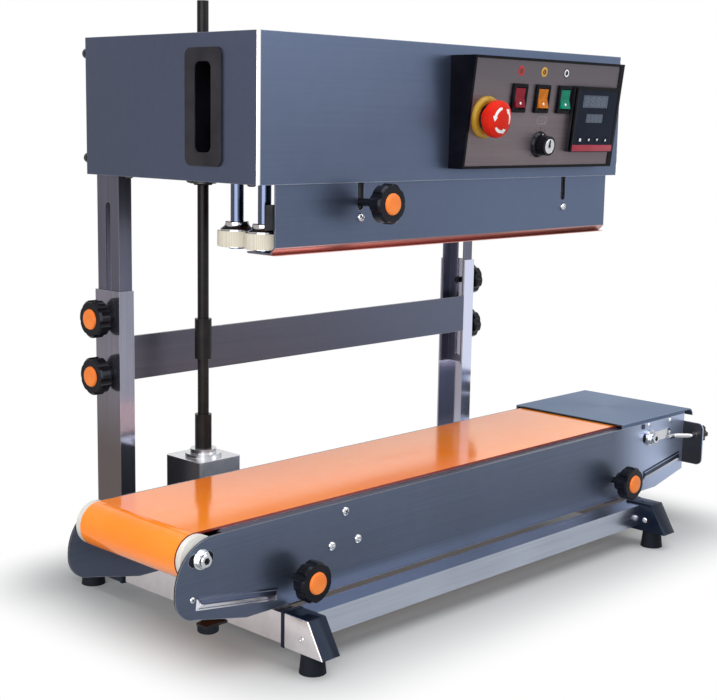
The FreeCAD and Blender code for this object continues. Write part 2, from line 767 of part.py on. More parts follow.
# Clamp knobs: a fluted star on a threaded stud, standing on a surface and pointing along Z
def star_knob(name, x, y, z, rotation, gap, stud_inside):
    body = new_body(name, x, y, z, rotation)
    star_foot = gap + d.knob_hub_length
    star_top = star_foot + d.knob_length
    edge = d.knob_round
    profile = outline(sketch_on(body, "XZ_Plane"), [
        (0, -stud_inside), (d.stud_radius, -stud_inside), (d.stud_radius, gap),
        (d.knob_hub_radius, gap), (d.knob_hub_radius, star_foot),
        (d.knob_radius - edge, star_foot), (d.knob_radius, star_foot + edge),
        (d.knob_radius, star_top - edge), (d.knob_radius - edge, star_top),
        (d.knob_cap_radius, star_top), (d.knob_cap_radius, star_top + d.knob_cap_height),
        (0, star_top + d.knob_cap_height)])
    revolve(body, profile)
    notch = circle_at(sketch_on(body, "XY_Plane", star_foot),
                      d.knob_radius + d.knob_notch_radius - d.knob_notch_depth, 0, d.knob_notch_radius)
    repeat_round(body, pocket(body, notch, d.knob_length, back=True), d.knob_notches)
    return keep(name, body)


clamp_stud = 2 * d.sheet_gauge + d.slip_gap + d.stud_end
for side, sign, rotation in (("left", -1, toward_left), ("right", 1, toward_right)):
    for level, height in (("upper", clamp_high), ("lower", clamp_low)):
        star_knob("%s_%s_knob" % (side, level), sign * d.post_reach, post_middle, height,
                  rotation, d.slip_gap, clamp_stud)
for side, across in (("left", d.conveyor_knob_left), ("right", d.conveyor_knob_right)):
    star_knob("conveyor_%s_knob" % side, across, front_plate_y, conveyor_knob_height,
              toward_front, d.conveyor_knob_gap, d.sheet_gauge + d.saddle_gauge + d.stud_end)
star_knob("guard_knob", d.slot_left_x, skirt_y, guard_stud_z, toward_front, d.guard_knob_gap,
          d.guard_stud_end)


# Conveyor side plates, bent from sheet
def side_plate(name, front):
    """Nose round at the left, lower edge tapered at both ends, flanges along the edges."""
    wall = d.sheet_gauge
    body = new_body(name, 0, front_plate_y + wall if front else back_plate_y, 0)
    nose = d.nose_round
    chin = d.chin_round
    waist = plate_top - nose - d.nose_flat
    reach = d.taper_start
    plate = outline(sketch_on(body, "XZ_Plane"), [
        (d.plate_end, plate_top), (d.nose_x + nose, plate_top, d.nose_x + nose, plate_top - nose, "left"),
        (d.nose_x, plate_top - nose), (d.nose_x, waist, d.nose_x + chin, waist, "left"),
        (d.nose_x + chin, waist - chin), (-reach, plate_foot), (reach, plate_foot),
        (d.plate_end, plate_foot + d.plate_end_rise)])
    pad(body, plate, wall)
    inside = 0 if front else wall
    inward = front
    top_edge = rectangle(sketch_on(body, "XZ_Plane", inside), d.top_flange_start, plate_top - wall,
                         d.plate_end - d.top_flange_start, wall)
    pad(body, top_edge, d.flange_width, back=inward)
    low_edge = rectangle(sketch_on(body, "XZ_Plane", inside), -d.lower_flange_left, plate_foot,
                         d.lower_flange_left + d.lower_flange_right, wall)
    pad(body, low_edge, d.flange_width, back=inward)

    root = -wall if front else as_size(0)
    sign = -1 if front else 1
    tip = root + sign * d.tension_flange
    bend = sign * d.tension_round
    way = "right" if front else "left"
    ear = outline(sketch_on(body, "YZ_Plane", d.plate_end - wall), [
        (root, tension_foot),
        (tip - bend, tension_foot, tip - bend, tension_foot + d.tension_round, way),
        (tip, tension_foot + d.tension_round),
        (tip, tension_top - d.tension_round, tip - bend, tension_top - d.tension_round, way),
        (tip - bend, tension_top), (root, tension_top)])
    pad(body, ear, wall)
    rod_hole = circle_at(sketch_on(body, "YZ_Plane", d.plate_end - wall),
                         root + sign * d.tension_out, tension_height, d.rod_radius + d.slip_gap)
    pocket(body, rod_hole, wall, back=True)

    for far, near, far_rise, near_rise in (
            (-d.rib_far, -d.rib_near, d.rib_far_rise, d.rib_near_rise),
            (d.rib_right_far, d.rib_right_near, d.rib_right_far_rise, d.rib_right_near_rise)):
        half = d.rib_height / 2
        far_height = plate_foot + far_rise
        near_height = plate_foot + near_rise
        rib = outline(sketch_on(body, "XZ_Plane", wall if front else 0), [
            (far, far_height - half), (near, near_height - half),
            (near, near_height + half), (far, far_height + half)])
        pad(body, rib, d.rib_depth, back=not front)

    for across in (d.left_roller_x, d.right_roller_x):
        hole = long_hole(sketch_on(body, "XZ_Plane"), across, roller_height,
                         d.axle_slot_reach, d.axle_radius + d.hole_clearance)
        pocket(body, hole, wall, back=True)
    return body


for name, front in (("conveyor_front_plate", True), ("conveyor_back_plate", False)):
    plate = side_plate(name, front)
    if front:
        for across in (d.conveyor_knob_left, d.conveyor_knob_right):
            hole = circle_at(sketch_on(plate, "XZ_Plane"), across, conveyor_knob_height,
                             d.stud_radius + d.stud_clearance)
            pocket(plate, hole, d.sheet_gauge, back=True)
    else:
        hole = circle_at(sketch_on(plate, "XZ_Plane"), d.shaft_x, drive_height,
                         d.journal_radius + d.slip_gap)
        pocket(plate, hole, d.sheet_gauge, back=True)
    keep(name, plate)

inner_width = d.conveyor_width - 2 * d.sheet_gauge
inner_front = front_plate_y + d.sheet_gauge
saddles = []
for side, start in (("left", d.foot_left_x - d.tube_width / 2),
                    ("right", d.foot_right_x + d.tube_width / 2 - d.saddle_length)):
    gauge = d.saddle_gauge
    saddle = new_body(side + "_saddle", start, inner_front, saddle_top - gauge)
    profile = outline(sketch_on(saddle, "YZ_Plane"), [
        (0, 0), (inner_width, 0), (inner_width, d.saddle_height), (inner_width - gauge, d.saddle_height),
        (inner_width - gauge, gauge), (gauge, gauge), (gauge, d.saddle_height), (0, d.saddle_height)])
    pad(saddle, profile, d.saddle_length)
    across = d.conveyor_knob_left if side == "left" else d.conveyor_knob_right
    hole = circle_at(sketch_on(saddle, "XZ_Plane"), across - start,
                     conveyor_knob_height - saddle_top + gauge, d.stud_radius + d.stud_clearance)
    pocket(saddle, hole, gauge)
    saddles.append(saddle)
keep("conveyor_saddles", group("conveyor_saddles", *saddles))

spacers = []
last = int(d.spacer_count.value) - 1
for index in range(last + 1):
    across = d.spacer_left_x + (d.spacer_right_x - d.spacer_left_x) * index / last
    spacers.append(rod("spacer_%d" % index, across, inner_front, roller_height, d.spacer_radius,
                       inner_width, toward_back))
keep("plate_spacers", group("plate_spacers", *spacers))

bed_front = front_plate_y + d.sheet_gauge + d.flange_width + d.bed_side_gap
bed_width = d.conveyor_width - 2 * (d.sheet_gauge + d.flange_width + d.bed_side_gap)
bed = new_body("slider_bed", d.bed_left, bed_front, bed_top - d.bed_lip)
bed_profile = outline(sketch_on(bed, "YZ_Plane"), [
    (0, 0), (d.bed_gauge, 0), (d.bed_gauge, d.bed_lip - d.bed_gauge),
    (bed_width - d.bed_gauge, d.bed_lip - d.bed_gauge), (bed_width - d.bed_gauge, 0),
    (bed_width, 0), (bed_width, d.bed_lip), (0, d.bed_lip)])
pad(bed, bed_profile, d.bed_right - d.bed_left)
keep("slider_bed", bed)


# Rollers, their axles and the belt
def turned(name, x, y, z, rotation, corners):
    """Piece turned about its own upright axis, standing at a point and pointing along Z."""
    body = new_body(name, x, y, z, rotation)
    revolve(body, outline(sketch_on(body, "XZ_Plane"), corners))
    return body


bore = d.axle_radius + d.hole_clearance
for side, across in (("left", d.left_roller_x), ("right", d.right_roller_x)):
    keep(side + "_roller", turned(side + "_roller", across, roller_front, roller_height, toward_back, [
        (bore, 0), (d.roller_radius, 0), (d.roller_radius, roller_length), (bore, roller_length)]))
disc_corners = [(bore, 0), (d.disc_radius, 0), (d.disc_radius, d.disc_gauge), (bore, d.disc_gauge)]
keep("roller_discs", group(
    "roller_discs",
    turned("front_disc", d.left_roller_x, roller_front - d.disc_gauge, roller_height, toward_back,
           disc_corners),
    turned("rear_disc", d.left_roller_x, roller_back, roller_height, toward_back, disc_corners)))

journal_front = roller_front - d.journal_reach
journal_end = shaft_y - d.upright_radius - d.journal_stop
keep("drive_roller", turned("drive_roller", d.shaft_x, journal_front, drive_height, toward_back, [
    (0, 0), (d.journal_radius, 0), (d.journal_radius, d.journal_reach), (d.roller_radius, d.journal_reach),
    (d.roller_radius, d.journal_reach + roller_length), (d.journal_radius, d.journal_reach + roller_length),
    (d.journal_radius, journal_end - journal_front), (0, journal_end - journal_front)]))

axles = []
for side, across, packing in (("left", d.left_roller_x, as_size(0)), ("right", d.right_roller_x, d.hook_gauge)):
    reach = packing + d.axle_head_height
    axles.append(turned(side + "_axle", across, front_plate_y - reach, roller_height, toward_back, [
        (0, 0), (d.axle_head_radius, 0), (d.axle_head_radius, d.axle_head_height),
        (d.axle_radius, d.axle_head_height),
        (d.axle_radius, reach + d.conveyor_width + packing),
        (d.axle_head_radius, reach + d.conveyor_width + packing),
        (d.axle_head_radius, 2 * reach + d.conveyor_width), (0, 2 * reach + d.conveyor_width)]))
keep("roller_axles", group("roller_axles", *axles))

belt = new_body("conveyor_belt", 0, belt_back, 0)
loop = sketch_on(belt, "XZ_Plane")
for radius in (belt_outer, belt_inner):
    left_x, left_z = (radius * sin(slope_left), radius * cos(slope_left))
    right_x, right_z = (radius * sin(slope_right), radius * cos(slope_right))
    outline(loop, [
        (d.right_roller_x, roller_height + radius),
        (d.left_roller_x, roller_height + radius, d.left_roller_x, roller_height, "left"),
        (d.left_roller_x - left_x, roller_height - left_z),
        (d.shaft_x - left_x, drive_height - left_z, d.shaft_x, drive_height, "left"),
        (d.shaft_x + right_x, drive_height - right_z),
        (d.right_roller_x + right_x, roller_height - right_z, d.right_roller_x, roller_height, "left")])
pad(belt, loop, belt_back - belt_front)
keep("conveyor_belt", belt)


# Drive: bearings on the side plates, gearbox behind them and the upright shaft
def ring(name, x, y, z, outer, inner, length, rotation):
    return turned(name, x, y, z, rotation, [(inner, 0), (outer, 0), (outer, length), (inner, length)])


journal_bore = d.journal_radius + d.hole_clearance
keep("bearing_flanges", group(
    "bearing_flanges",
    ring("front_bearing", d.shaft_x, inner_front, drive_height, d.bearing_radius, journal_bore,
         d.bearing_gauge, toward_back),
    ring("rear_bearing", d.shaft_x, inner_front + inner_width - d.bearing_gauge, drive_height,
         d.bearing_radius, journal_bore, d.bearing_gauge, toward_back)))

screws = []
for index in range(3):
    angle = Size(90 + 120 * index)
    x = d.shaft_x + d.bearing_bolt_circle * cos(angle)
    z = drive_height + d.bearing_bolt_circle * sin(angle)
    screws.append(turned("bearing_screw_%d" % index, x, front_plate_y, z, toward_front, [
        (0, 0), (d.screw_radius, 0), (d.screw_radius, d.screw_height / 3),
        (d.screw_radius / 2, d.screw_height), (0, d.screw_height)]))
keep("bearing_screws", group("bearing_screws", *screws))

gearbox = new_body("gearbox", d.shaft_x, shaft_y, gearbox_top - d.gearbox_height)
half = d.gearbox_size / 2
pad(gearbox, rectangle(sketch_on(gearbox, "XY_Plane"), -half, -half, d.gearbox_size, d.gearbox_size),
    d.gearbox_height)
round_edges(gearbox, d.gearbox_corner, lambda middle, along: abs(along.z) > 0.9)
axis_rise = drive_height - gearbox_top + d.gearbox_height
pad(gearbox, circle_at(sketch_on(gearbox, "XZ_Plane", half), 0, axis_rise, d.gear_neck_radius),
    gearbox_front - back_plate_y)
pad(gearbox, circle_at(sketch_on(gearbox, "XY_Plane", d.gearbox_height), 0, 0, d.gear_flange_radius),
    d.gear_flange_gauge)
pad(gearbox, circle_at(sketch_on(gearbox, "XY_Plane", d.gearbox_height + d.gear_flange_gauge), 0, 0,
                       d.gear_nut_radius), d.gear_nut_height)
pocket(gearbox, circle_at(sketch_on(gearbox, "XZ_Plane", shaft_y - back_plate_y), 0, axis_rise, journal_bore),
       journal_end - back_plate_y + d.slip_gap)
pocket(gearbox, circle_at(sketch_on(gearbox, "XY_Plane", gear_nut_top - gearbox_top + d.gearbox_height),
                          0, 0, d.upright_radius + d.hole_clearance), d.shaft_spigot + d.slip_gap)
keep("gearbox", gearbox)

upright_foot = gear_nut_top - d.shaft_spigot
keep("upright_shaft", rod("upright_shaft", d.shaft_x, shaft_y, upright_foot, d.upright_radius,
                          upright_top - upright_foot))
sleeve_bore = d.upright_radius + d.hole_clearance
keep("shaft_couplings", group(
    "shaft_couplings",
    ring("lower_coupling", d.shaft_x, shaft_y, gear_nut_top + d.slip_gap, d.coupling_radius, sleeve_bore,
         d.lower_coupling_height, up),
    ring("upper_coupling", d.shaft_x, shaft_y, coupling_foot, d.coupling_radius, sleeve_bore,
         d.coupling_height, up)))


# Belt tension: an eye plate on the axle, a cranked rod and a star knob behind the ear
def tension_rod(name, sign):
    """Eye and rod beside one side plate; the sign says which way is outward."""
    outer = front_plate_y if sign < 0 else back_plate_y
    plate_start = outer - d.hook_gauge if sign < 0 else outer
    eye = rod(name + "_eye", d.right_roller_x, plate_start, roller_height, d.hook_eye_radius,
              d.hook_gauge, toward_back)
    strap = block(name + "_strap", d.right_roller_x, plate_start, roller_height - d.hook_width / 2,
                  d.hook_length, d.hook_gauge, d.hook_width)
    hole = rod(name + "_hole", d.right_roller_x, plate_start, roller_height, bore, d.hook_gauge, toward_back)
    plate = cut(name + "_plate", join(name + "_blank", eye, strap), hole)

    crank = new_body(name + "_crank", d.right_roller_x + d.hook_length, outer + sign * d.rod_radius,
                     tension_height)
    radius = d.rod_bend
    step = radius * sin(Size(45))
    lift = radius - radius * cos(Size(45))
    run = d.tension_out - d.rod_radius - 2 * lift
    outward = "right" if sign < 0 else "left"
    inward = "left" if sign < 0 else "right"
    start = d.rod_lead
    far = start + 2 * step + run
    aside = sign * (2 * lift + run)
    path = outline(sketch_on(crank, "XY_Plane"), [
        (-d.rod_lead, 0),
        (start, 0, start, sign * radius, outward),
        (start + step, sign * lift),
        (start + step + run, sign * (lift + run), far, aside - sign * radius, inward),
        (far, aside),
        (d.cover_right - d.right_roller_x - d.hook_length, aside)], closed=False)
    section = circle_at(sketch_on(crank, "YZ_Plane", -d.rod_lead), 0, 0, d.rod_radius)
    pipe = crank.newObject("PartDesign::AdditivePipe", name + "_pipe")
    pipe.Profile = section
    pipe.Spine = path
    return join(name, plate, crank)


keep("tension_rods", group("tension_rods", tension_rod("front_tension", -1), tension_rod("rear_tension", 1)))


def tension_knob(name, y):
    body = new_body(name, d.plate_end + d.slip_gap, y, tension_height, toward_right)
    wheel = circle_at(sketch_on(body, "XY_Plane"), 0, 0, d.tension_knob_radius)
    pad(body, wheel, d.tension_knob_length)
    notch = circle_at(sketch_on(body, "XY_Plane"), d.tension_knob_radius + d.tension_notch_offset, 0,
                      d.tension_notch_radius)
    repeat_round(body, pocket(body, notch, d.tension_knob_length, back=True), d.tension_notches)
    pocket(body, circle_at(sketch_on(body, "XY_Plane"), 0, 0, d.rod_radius + d.hole_clearance),
           d.tension_knob_length, back=True)
    return keep(name, body)


tension_knob("front_tension_knob", front_plate_y - d.tension_out)
tension_knob("rear_tension_knob", back_plate_y + d.tension_out)

end_cover = new_body("end_cover", 0, back_plate_y, 0)
turn = d.cover_drop
shell = d.cover_gauge
pad(end_cover, outline(sketch_on(end_cover, "XZ_Plane"), [
    (d.cover_left, cover_foot), (d.cover_right - turn, cover_foot,
                                 d.cover_right - turn, cover_top - turn, "right"),
    (d.cover_right - shell, cover_top - turn), (d.cover_right, cover_top - turn,
                                                d.cover_right - turn, cover_top - turn, "left"),
    (d.cover_right - turn, cover_top), (d.cover_left, cover_top)]), d.conveyor_width)
for offset in (as_size(0), d.conveyor_width - d.sheet_gauge):
    lip = rectangle(sketch_on(end_cover, "XZ_Plane", offset), d.cover_left, plate_top,
                    d.plate_end - d.cover_left, cover_foot - plate_top)
    pad(end_cover, lip, d.sheet_gauge)
keep("end_cover", end_cover)


# Head: cover, mounting plate and recessed side handles
cover = new_body("head_cover", head_left, face_y, d.head_bottom)
pad(cover, rectangle(sketch_on(cover, "XY_Plane"), 0, 0, d.head_length, d.head_depth), d.head_height)
round_edges(cover, d.head_corner, lambda middle, along: abs(along.z) > 0.9)
wall = d.sheet_gauge
pocket(cover, rectangle(sketch_on(cover, "XY_Plane"), wall, wall, d.head_length - 2 * wall,
                        d.head_depth - 2 * wall), d.head_height - wall, back=True)
shaft_pass = d.upright_radius + d.shaft_room
pocket(cover, circle_at(sketch_on(cover, "XY_Plane", d.head_height), d.shaft_x - head_left,
                        d.shaft_setback, shaft_pass), wall)
tub_width = d.cup_slot_width + 2 * d.cup_wall
tub_tall = d.cup_slot_tall + 2 * d.cup_wall
opening = rectangle(sketch_on(cover, "YZ_Plane"), d.cup_setback - tub_width / 2 - d.slip_gap,
                    d.cup_height - tub_tall / 2 - d.slip_gap, tub_width + 2 * d.slip_gap,
                    tub_tall + 2 * d.slip_gap)
pocket(cover, opening, d.head_length, back=True)
keep("head_cover", cover)

floor_block = block("floor_blank", head_left + wall, face_y + wall, d.head_bottom,
                    d.head_length - 2 * wall, d.head_depth - 2 * wall, d.floor_gauge)
floor_hole = rod("floor_hole", d.shaft_x, shaft_y, d.head_bottom, shaft_pass, d.floor_gauge)
keep("head_floor", group(
    "head_floor",
    cut("floor_sheet", floor_block, floor_hole),
    ring("shaft_bush", d.shaft_x, shaft_y, d.head_bottom - d.collar_height, d.collar_radius,
         d.upright_radius + d.hole_clearance, d.collar_height, up)))


def handle_cup(name, x, y, rotation):
    body = new_body(name, x, y, d.head_bottom + d.cup_height, rotation)
    pad(body, rectangle(sketch_on(body, "YZ_Plane"), -d.cup_width / 2, -d.cup_tall / 2,
                        d.cup_width, d.cup_tall), d.cup_wall, back=True)
    round_edges(body, d.cup_corner, lambda middle, along: abs(along.x) > 0.9)
    pad(body, rectangle(sketch_on(body, "YZ_Plane"), -tub_width / 2, -tub_tall / 2, tub_width, tub_tall),
        d.cup_depth + d.cup_wall)
    slot = rectangle(sketch_on(body, "YZ_Plane", -d.cup_wall), -d.cup_slot_width / 2, -d.cup_slot_tall / 2,
                     d.cup_slot_width, d.cup_slot_tall)
    pocket(body, slot, d.cup_depth + d.cup_wall, back=True)
    return body


keep("handle_cups", group(
    "handle_cups",
    handle_cup("left_handle_cup", head_left, face_y + d.cup_setback, up),
    handle_cup("right_handle_cup", head_right, face_y + d.cup_setback, half_turn)))


# Controls: a wedge bezel whose face leans down, so pieces are drawn along the face
def face_body(name, across, out, rise, extra_tilt=None):
    """Body on the leaning face: a distance along X, out from the face and up along it."""
    y = bezel_face_y - out * cos(bezel_tilt) - rise * sin(bezel_tilt)
    z = bezel_foot - out * sin(bezel_tilt) + rise * cos(bezel_tilt)
    body = new_body(name, across, y, z)
    return tilt(body, bezel_tilt if extra_tilt is None else bezel_tilt + extra_tilt)


margin = d.plate_margin
bezel = face_body("control_bezel", d.bezel_left, 0, 0)
back_low = (d.bezel_foot_depth * cos(bezel_tilt), -d.bezel_foot_depth * sin(bezel_tilt))
back_high = (back_low[0] + d.bezel_rise * sin(bezel_tilt), back_low[1] + d.bezel_rise * cos(bezel_tilt))
pad(bezel, outline(sketch_on(bezel, "YZ_Plane"), [(0, 0), back_low, back_high, (0, face_rise)]),
    d.bezel_length)
plate_length = d.bezel_length - margin - d.plate_end_margin
plate_tall = face_rise - 2 * margin
pocket(bezel, rectangle(sketch_on(bezel, "XZ_Plane", 0), margin, margin, plate_length, plate_tall),
       2 * d.bezel_top_depth)
keep("control_bezel", bezel)

plate_left = d.bezel_left + margin
plate_out = -d.plate_recess
control_plate = face_body("control_plate", plate_left, plate_out, margin)
pad(control_plate, rectangle(sketch_on(control_plate, "XZ_Plane", -d.plate_gauge), 0, 0,
                             plate_length, plate_tall), d.plate_gauge)
through = d.plate_gauge


def plate_hole(draw, x, rise, *shape):
    sketch = sketch_on(control_plate, "XZ_Plane")
    draw(sketch, x - plate_left, rise - margin, *shape)
    pocket(control_plate, sketch, through)


switch_width = d.rocker_width - 2 * d.rocker_border
switch_tall = d.rocker_tall - 2 * d.rocker_border
plate_hole(circle_at, d.stop_x, d.stop_height, d.stop_stem_radius + d.hole_clearance)
plate_hole(circle_at, d.dial_x, d.dial_height, d.dial_spindle + d.hole_clearance)
plate_hole(rectangle, d.controller_x + d.controller_border, d.controller_foot + d.controller_border,
           d.controller_width - 2 * d.controller_border, d.controller_tall - 2 * d.controller_border)
switch_places = [d.rocker_first + d.rocker_pitch * index for index in range(3)]
for across in switch_places:
    plate_hole(rectangle, across - switch_width / 2, d.rocker_height - switch_tall / 2,
               switch_width, switch_tall)
keep("control_plate", control_plate)

stop_ring = face_body("stop_ring", d.stop_x, plate_out, d.stop_height)
ring_profile = outline(sketch_on(stop_ring, "YZ_Plane"), [
    (0, d.stop_stem_radius + d.hole_clearance), (0, d.stop_ring_radius),
    (-d.stop_ring_step, d.stop_ring_radius),
    (-d.stop_ring_length, d.stop_ring_radius - d.stop_ring_taper),
    (-d.stop_ring_length, d.stop_stem_radius + d.hole_clearance)])
revolve(stop_ring, ring_profile, "H_Axis")

stop_button = face_body("stop_button", d.stop_x, plate_out, d.stop_height)
cap_back = -d.stop_ring_length - d.stop_travel - d.slip_gap
cap_face = cap_back - d.stop_cap_length
stem_end = d.plate_gauge + d.stop_stem_inside
button_profile = outline(sketch_on(stop_button, "YZ_Plane"), [
    (stem_end, 0), (stem_end, d.stop_stem_radius), (cap_back, d.stop_stem_radius),
    (cap_back, d.stop_cap_radius - d.stop_cap_round), (cap_back - d.stop_cap_round, d.stop_cap_radius),
    (cap_face + d.stop_cap_dome, d.stop_cap_radius), (cap_face, d.stop_cap_radius - 2 * d.stop_cap_dome),
    (cap_face, 0)])
revolve(stop_button, button_profile, "H_Axis")
keep("stop_button", stop_button)

frames = [stop_ring]
for index, (colour, across) in enumerate(zip(("red", "amber", "green"), switch_places)):
    frame = face_body("%s_frame" % colour, across, plate_out, d.rocker_height)
    border = sketch_on(frame, "XZ_Plane")
    rectangle(border, -d.rocker_width / 2, -d.rocker_tall / 2, d.rocker_width, d.rocker_tall)
    rectangle(border, -switch_width / 2, -switch_tall / 2, switch_width, switch_tall)
    pad(frame, border, d.rocker_proud)
    frames.append(frame)

    paddle = face_body("%s_rocker" % colour, across - switch_width / 2 + d.rocker_play, plate_out,
                       d.rocker_height, Size(-d.rocker_lean.value, "-%s * 1 deg" % d.rocker_lean.text))
    half = switch_tall / 2 - d.rocker_play - d.rocker_swing_room
    paddle_profile = outline(sketch_on(paddle, "YZ_Plane"), [
        (d.rocker_depth, -half / 3), (d.rocker_depth, half / 3), (0, half),
        (-d.rocker_proud - d.rocker_wing, half), (-d.rocker_proud + d.rocker_dip, 0),
        (-d.rocker_proud - d.rocker_wing, -half), (0, -half)])
    pad(paddle, paddle_profile, switch_width - 2 * d.rocker_play)
    keep("%s_rocker" % colour, paddle)
keep("switch_frames", group("switch_frames", *frames))

dial = face_body("speed_dial", d.dial_x, plate_out, d.dial_height)
dial_profile = outline(sketch_on(dial, "YZ_Plane"), [
    (d.plate_gauge + d.dial_tail, 0), (d.plate_gauge + d.dial_tail, d.dial_spindle),
    (-d.slip_gap, d.dial_spindle), (-d.slip_gap, d.dial_radius), (-d.dial_skirt, d.dial_radius),
    (-d.dial_skirt - d.dial_edge, d.dial_grip_radius),
    (-d.dial_length + d.dial_edge, d.dial_grip_radius - d.dial_taper),
    (-d.dial_length, d.dial_grip_radius - d.dial_taper - d.dial_edge), (-d.dial_length, 0)])
revolve(dial, dial_profile, "H_Axis")
keep("speed_dial", dial)

controller = face_body("temperature_controller", d.controller_x, plate_out, d.controller_foot)
pad(controller, rectangle(sketch_on(controller, "XZ_Plane"), 0, 0, d.controller_width, d.controller_tall),
    d.controller_proud)
border = d.controller_border
pad(controller, rectangle(sketch_on(controller, "XZ_Plane"), border, border,
                          d.controller_width - 2 * border, d.controller_tall - 2 * border),
    d.controller_depth, back=True)
middle = d.controller_width / 2
for width, foot, tall in ((d.display_width, d.display_height, d.display_tall),
                          (d.small_display_width, d.small_display_height, d.small_display_tall)):
    window = rectangle(sketch_on(controller, "XZ_Plane", d.controller_proud),
                       middle - width / 2, foot, width, tall)
    pocket(controller, window, d.display_sunk)
key_places = [middle + d.key_pitch * (index - 1.5) for index in range(4)]
room = d.key_play
key_sketch = sketch_on(controller, "XZ_Plane", d.controller_proud)
for across in key_places:
    rectangle(key_sketch, across - d.key_width / 2 - room, d.key_height - d.key_tall / 2 - room,
              d.key_width + 2 * room, d.key_tall + 2 * room)
pocket(controller, key_sketch, d.key_length - d.key_proud + d.key_travel + d.slip_gap)
keep("temperature_controller", controller)

for index, across in enumerate(key_places, start=1):
    key = face_body("controller_key_%d" % index, d.controller_x + across,
                    plate_out + d.controller_proud + d.key_proud - d.key_length,
                    d.controller_foot + d.key_height)
    pad(key, rectangle(sketch_on(key, "XZ_Plane"), -d.key_width / 2, -d.key_tall / 2,
                       d.key_width, d.key_tall), d.key_length)
    keep("controller_key_%d" % index, key)


# Guard in front of the sealing belts, bent from one sheet
guard_left = -d.skirt_left
guard = new_body("front_guard", guard_left, skirt_y, 0)
gauge = d.skirt_gauge
mitre = gauge * sin(Size(45)) / (1 + cos(Size(45)))
shelf_back = d.skirt_lip + d.skirt_shelf
pad(guard, outline(sketch_on(guard, "YZ_Plane"), [
    (0, d.head_bottom), (0, skirt_bottom), (d.skirt_lip, shelf_z), (shelf_back, shelf_z),
    (shelf_back, shelf_z + gauge), (d.skirt_lip + mitre, shelf_z + gauge),
    (gauge, skirt_bottom + mitre), (gauge, d.head_bottom)]), d.skirt_left + d.skirt_right)
slot_foot = d.head_bottom - d.guard_slot_reach + d.guard_slot_half
for across in (d.slot_left_x, d.slot_right_x):
    middle = across - guard_left
    half = d.guard_slot_half
    slot = outline(sketch_on(guard, "XZ_Plane"), [
        (middle - half, slot_foot, middle, slot_foot, "left"), (middle + half, slot_foot),
        (middle + half, d.head_bottom), (middle - half, d.head_bottom)])
    pocket(guard, slot, gauge)
keep("front_guard", guard)
keep("guard_screws", group("guard_screws", *[
    turned("guard_screw_%d" % index, across, skirt_y, d.head_bottom - d.guard_screw_drop, toward_front, [
        (0, 0), (d.screw_radius, 0), (d.screw_radius, d.screw_height),
        (0, d.screw_height + d.screw_dome)])
    for index, across in enumerate((d.slot_left_x, d.slot_right_x))]))


# Sealing unit: two belts that meet in a line, each on two wheels, with blocks between the wheels
wheel_stations = [(side + "_" + end, sign * d.belt_wheel_reach, nip_y + face * wheel_offset)
                  for side, sign in (("left", -1), ("right", 1))
                  for end, face in (("front", -1), ("rear", 1))]
wheel_bore = d.wheel_shaft_radius + d.hole_clearance
wheel_shafts = []
for name, across, depth in wheel_stations:
    keep(name + "_wheel", turned(name + "_wheel", across, depth, belt_wheel_foot, up, [
        (wheel_bore, 0), (d.belt_wheel_radius, 0), (d.belt_wheel_radius, d.belt_wheel_width),
        (wheel_bore, d.belt_wheel_width)]))
    shaft_foot = belt_wheel_foot - d.slip_gap - d.wheel_head_height
    pin = turned(name + "_pin", across, depth, shaft_foot, up, [
        (0, 0), (d.wheel_head_radius, 0), (d.wheel_head_radius, d.wheel_head_height),
        (d.wheel_shaft_radius, d.wheel_head_height),
        (d.wheel_shaft_radius, d.head_bottom - shaft_foot), (0, d.head_bottom - shaft_foot)])
    nut = doc.addObject("Part::Prism", name + "_nut")
    nut.Polygon = 6
    bind(nut, "Circumradius", d.wheel_nut_radius)
    bind(nut, "Height", d.wheel_nut_height)
    place(nut, across, depth, wheel_top + d.slip_gap)
    wheel_shafts.append(join(name + "_shaft", pin, nut))
keep("wheel_shafts", group("wheel_shafts", *wheel_shafts))

seal_belts = []
for name, face in (("front_seal_belt", -1), ("rear_seal_belt", 1)):
    band = new_body(name, 0, nip_y + face * wheel_offset, belt_wheel_foot + d.seal_belt_inset)
    loop = sketch_on(band, "XY_Plane")
    reach = d.belt_wheel_reach
    for radius in (seal_outer, seal_inner):
        long_hole(loop, 0, 0, reach, radius)
    pad(band, loop, d.belt_wheel_width - 2 * d.seal_belt_inset)
    seal_belts.append(band)
keep("seal_belts", group("seal_belts", *seal_belts))

block_foot = belt_wheel_foot + (d.belt_wheel_width - d.block_height) / 2
block_gap = d.nip_gap / 2 + d.seal_belt_gauge + d.block_play


def pressing_block(name, start, face, finned):
    """Block that presses one belt on the nip, carried by a hanger under the mounting plate."""
    near = nip_y + face * block_gap
    body = new_body(name, start, near, block_foot)
    depth = d.block_depth if face > 0 else -d.block_depth
    low, high = (as_size(0), d.block_depth) if face > 0 else (-d.block_depth, as_size(0))
    pad(body, rectangle(sketch_on(body, "XY_Plane"), 0, low, d.block_length, high - low), d.block_height)
    hanger_start = (d.block_length - d.hanger_length) / 2
    pad(body, rectangle(sketch_on(body, "XY_Plane", d.block_height), hanger_start, low,
                        d.hanger_length, high - low), d.head_bottom - block_foot - d.block_height)
    if finned:
        depth = high - d.fin_depth if face > 0 else low
        fin = rectangle(sketch_on(body, "XY_Plane"), d.fin_pitch / 2, depth, d.fin_slot, d.fin_depth)
        count = int(d.block_length.value / d.fin_pitch.value)
        repeat_along(body, pocket(body, fin, d.block_height, back=True), "X_Axis", d.fin_pitch, count)
    return body


keep("pressing_blocks", group("pressing_blocks", *[
    pressing_block("%s_%s" % (end, kind), start, face, finned)
    for kind, start, finned in (("heater", d.heater_x, False), ("cooler", d.cooler_x, True))
    for end, face in (("front", -1), ("rear", 1))]))

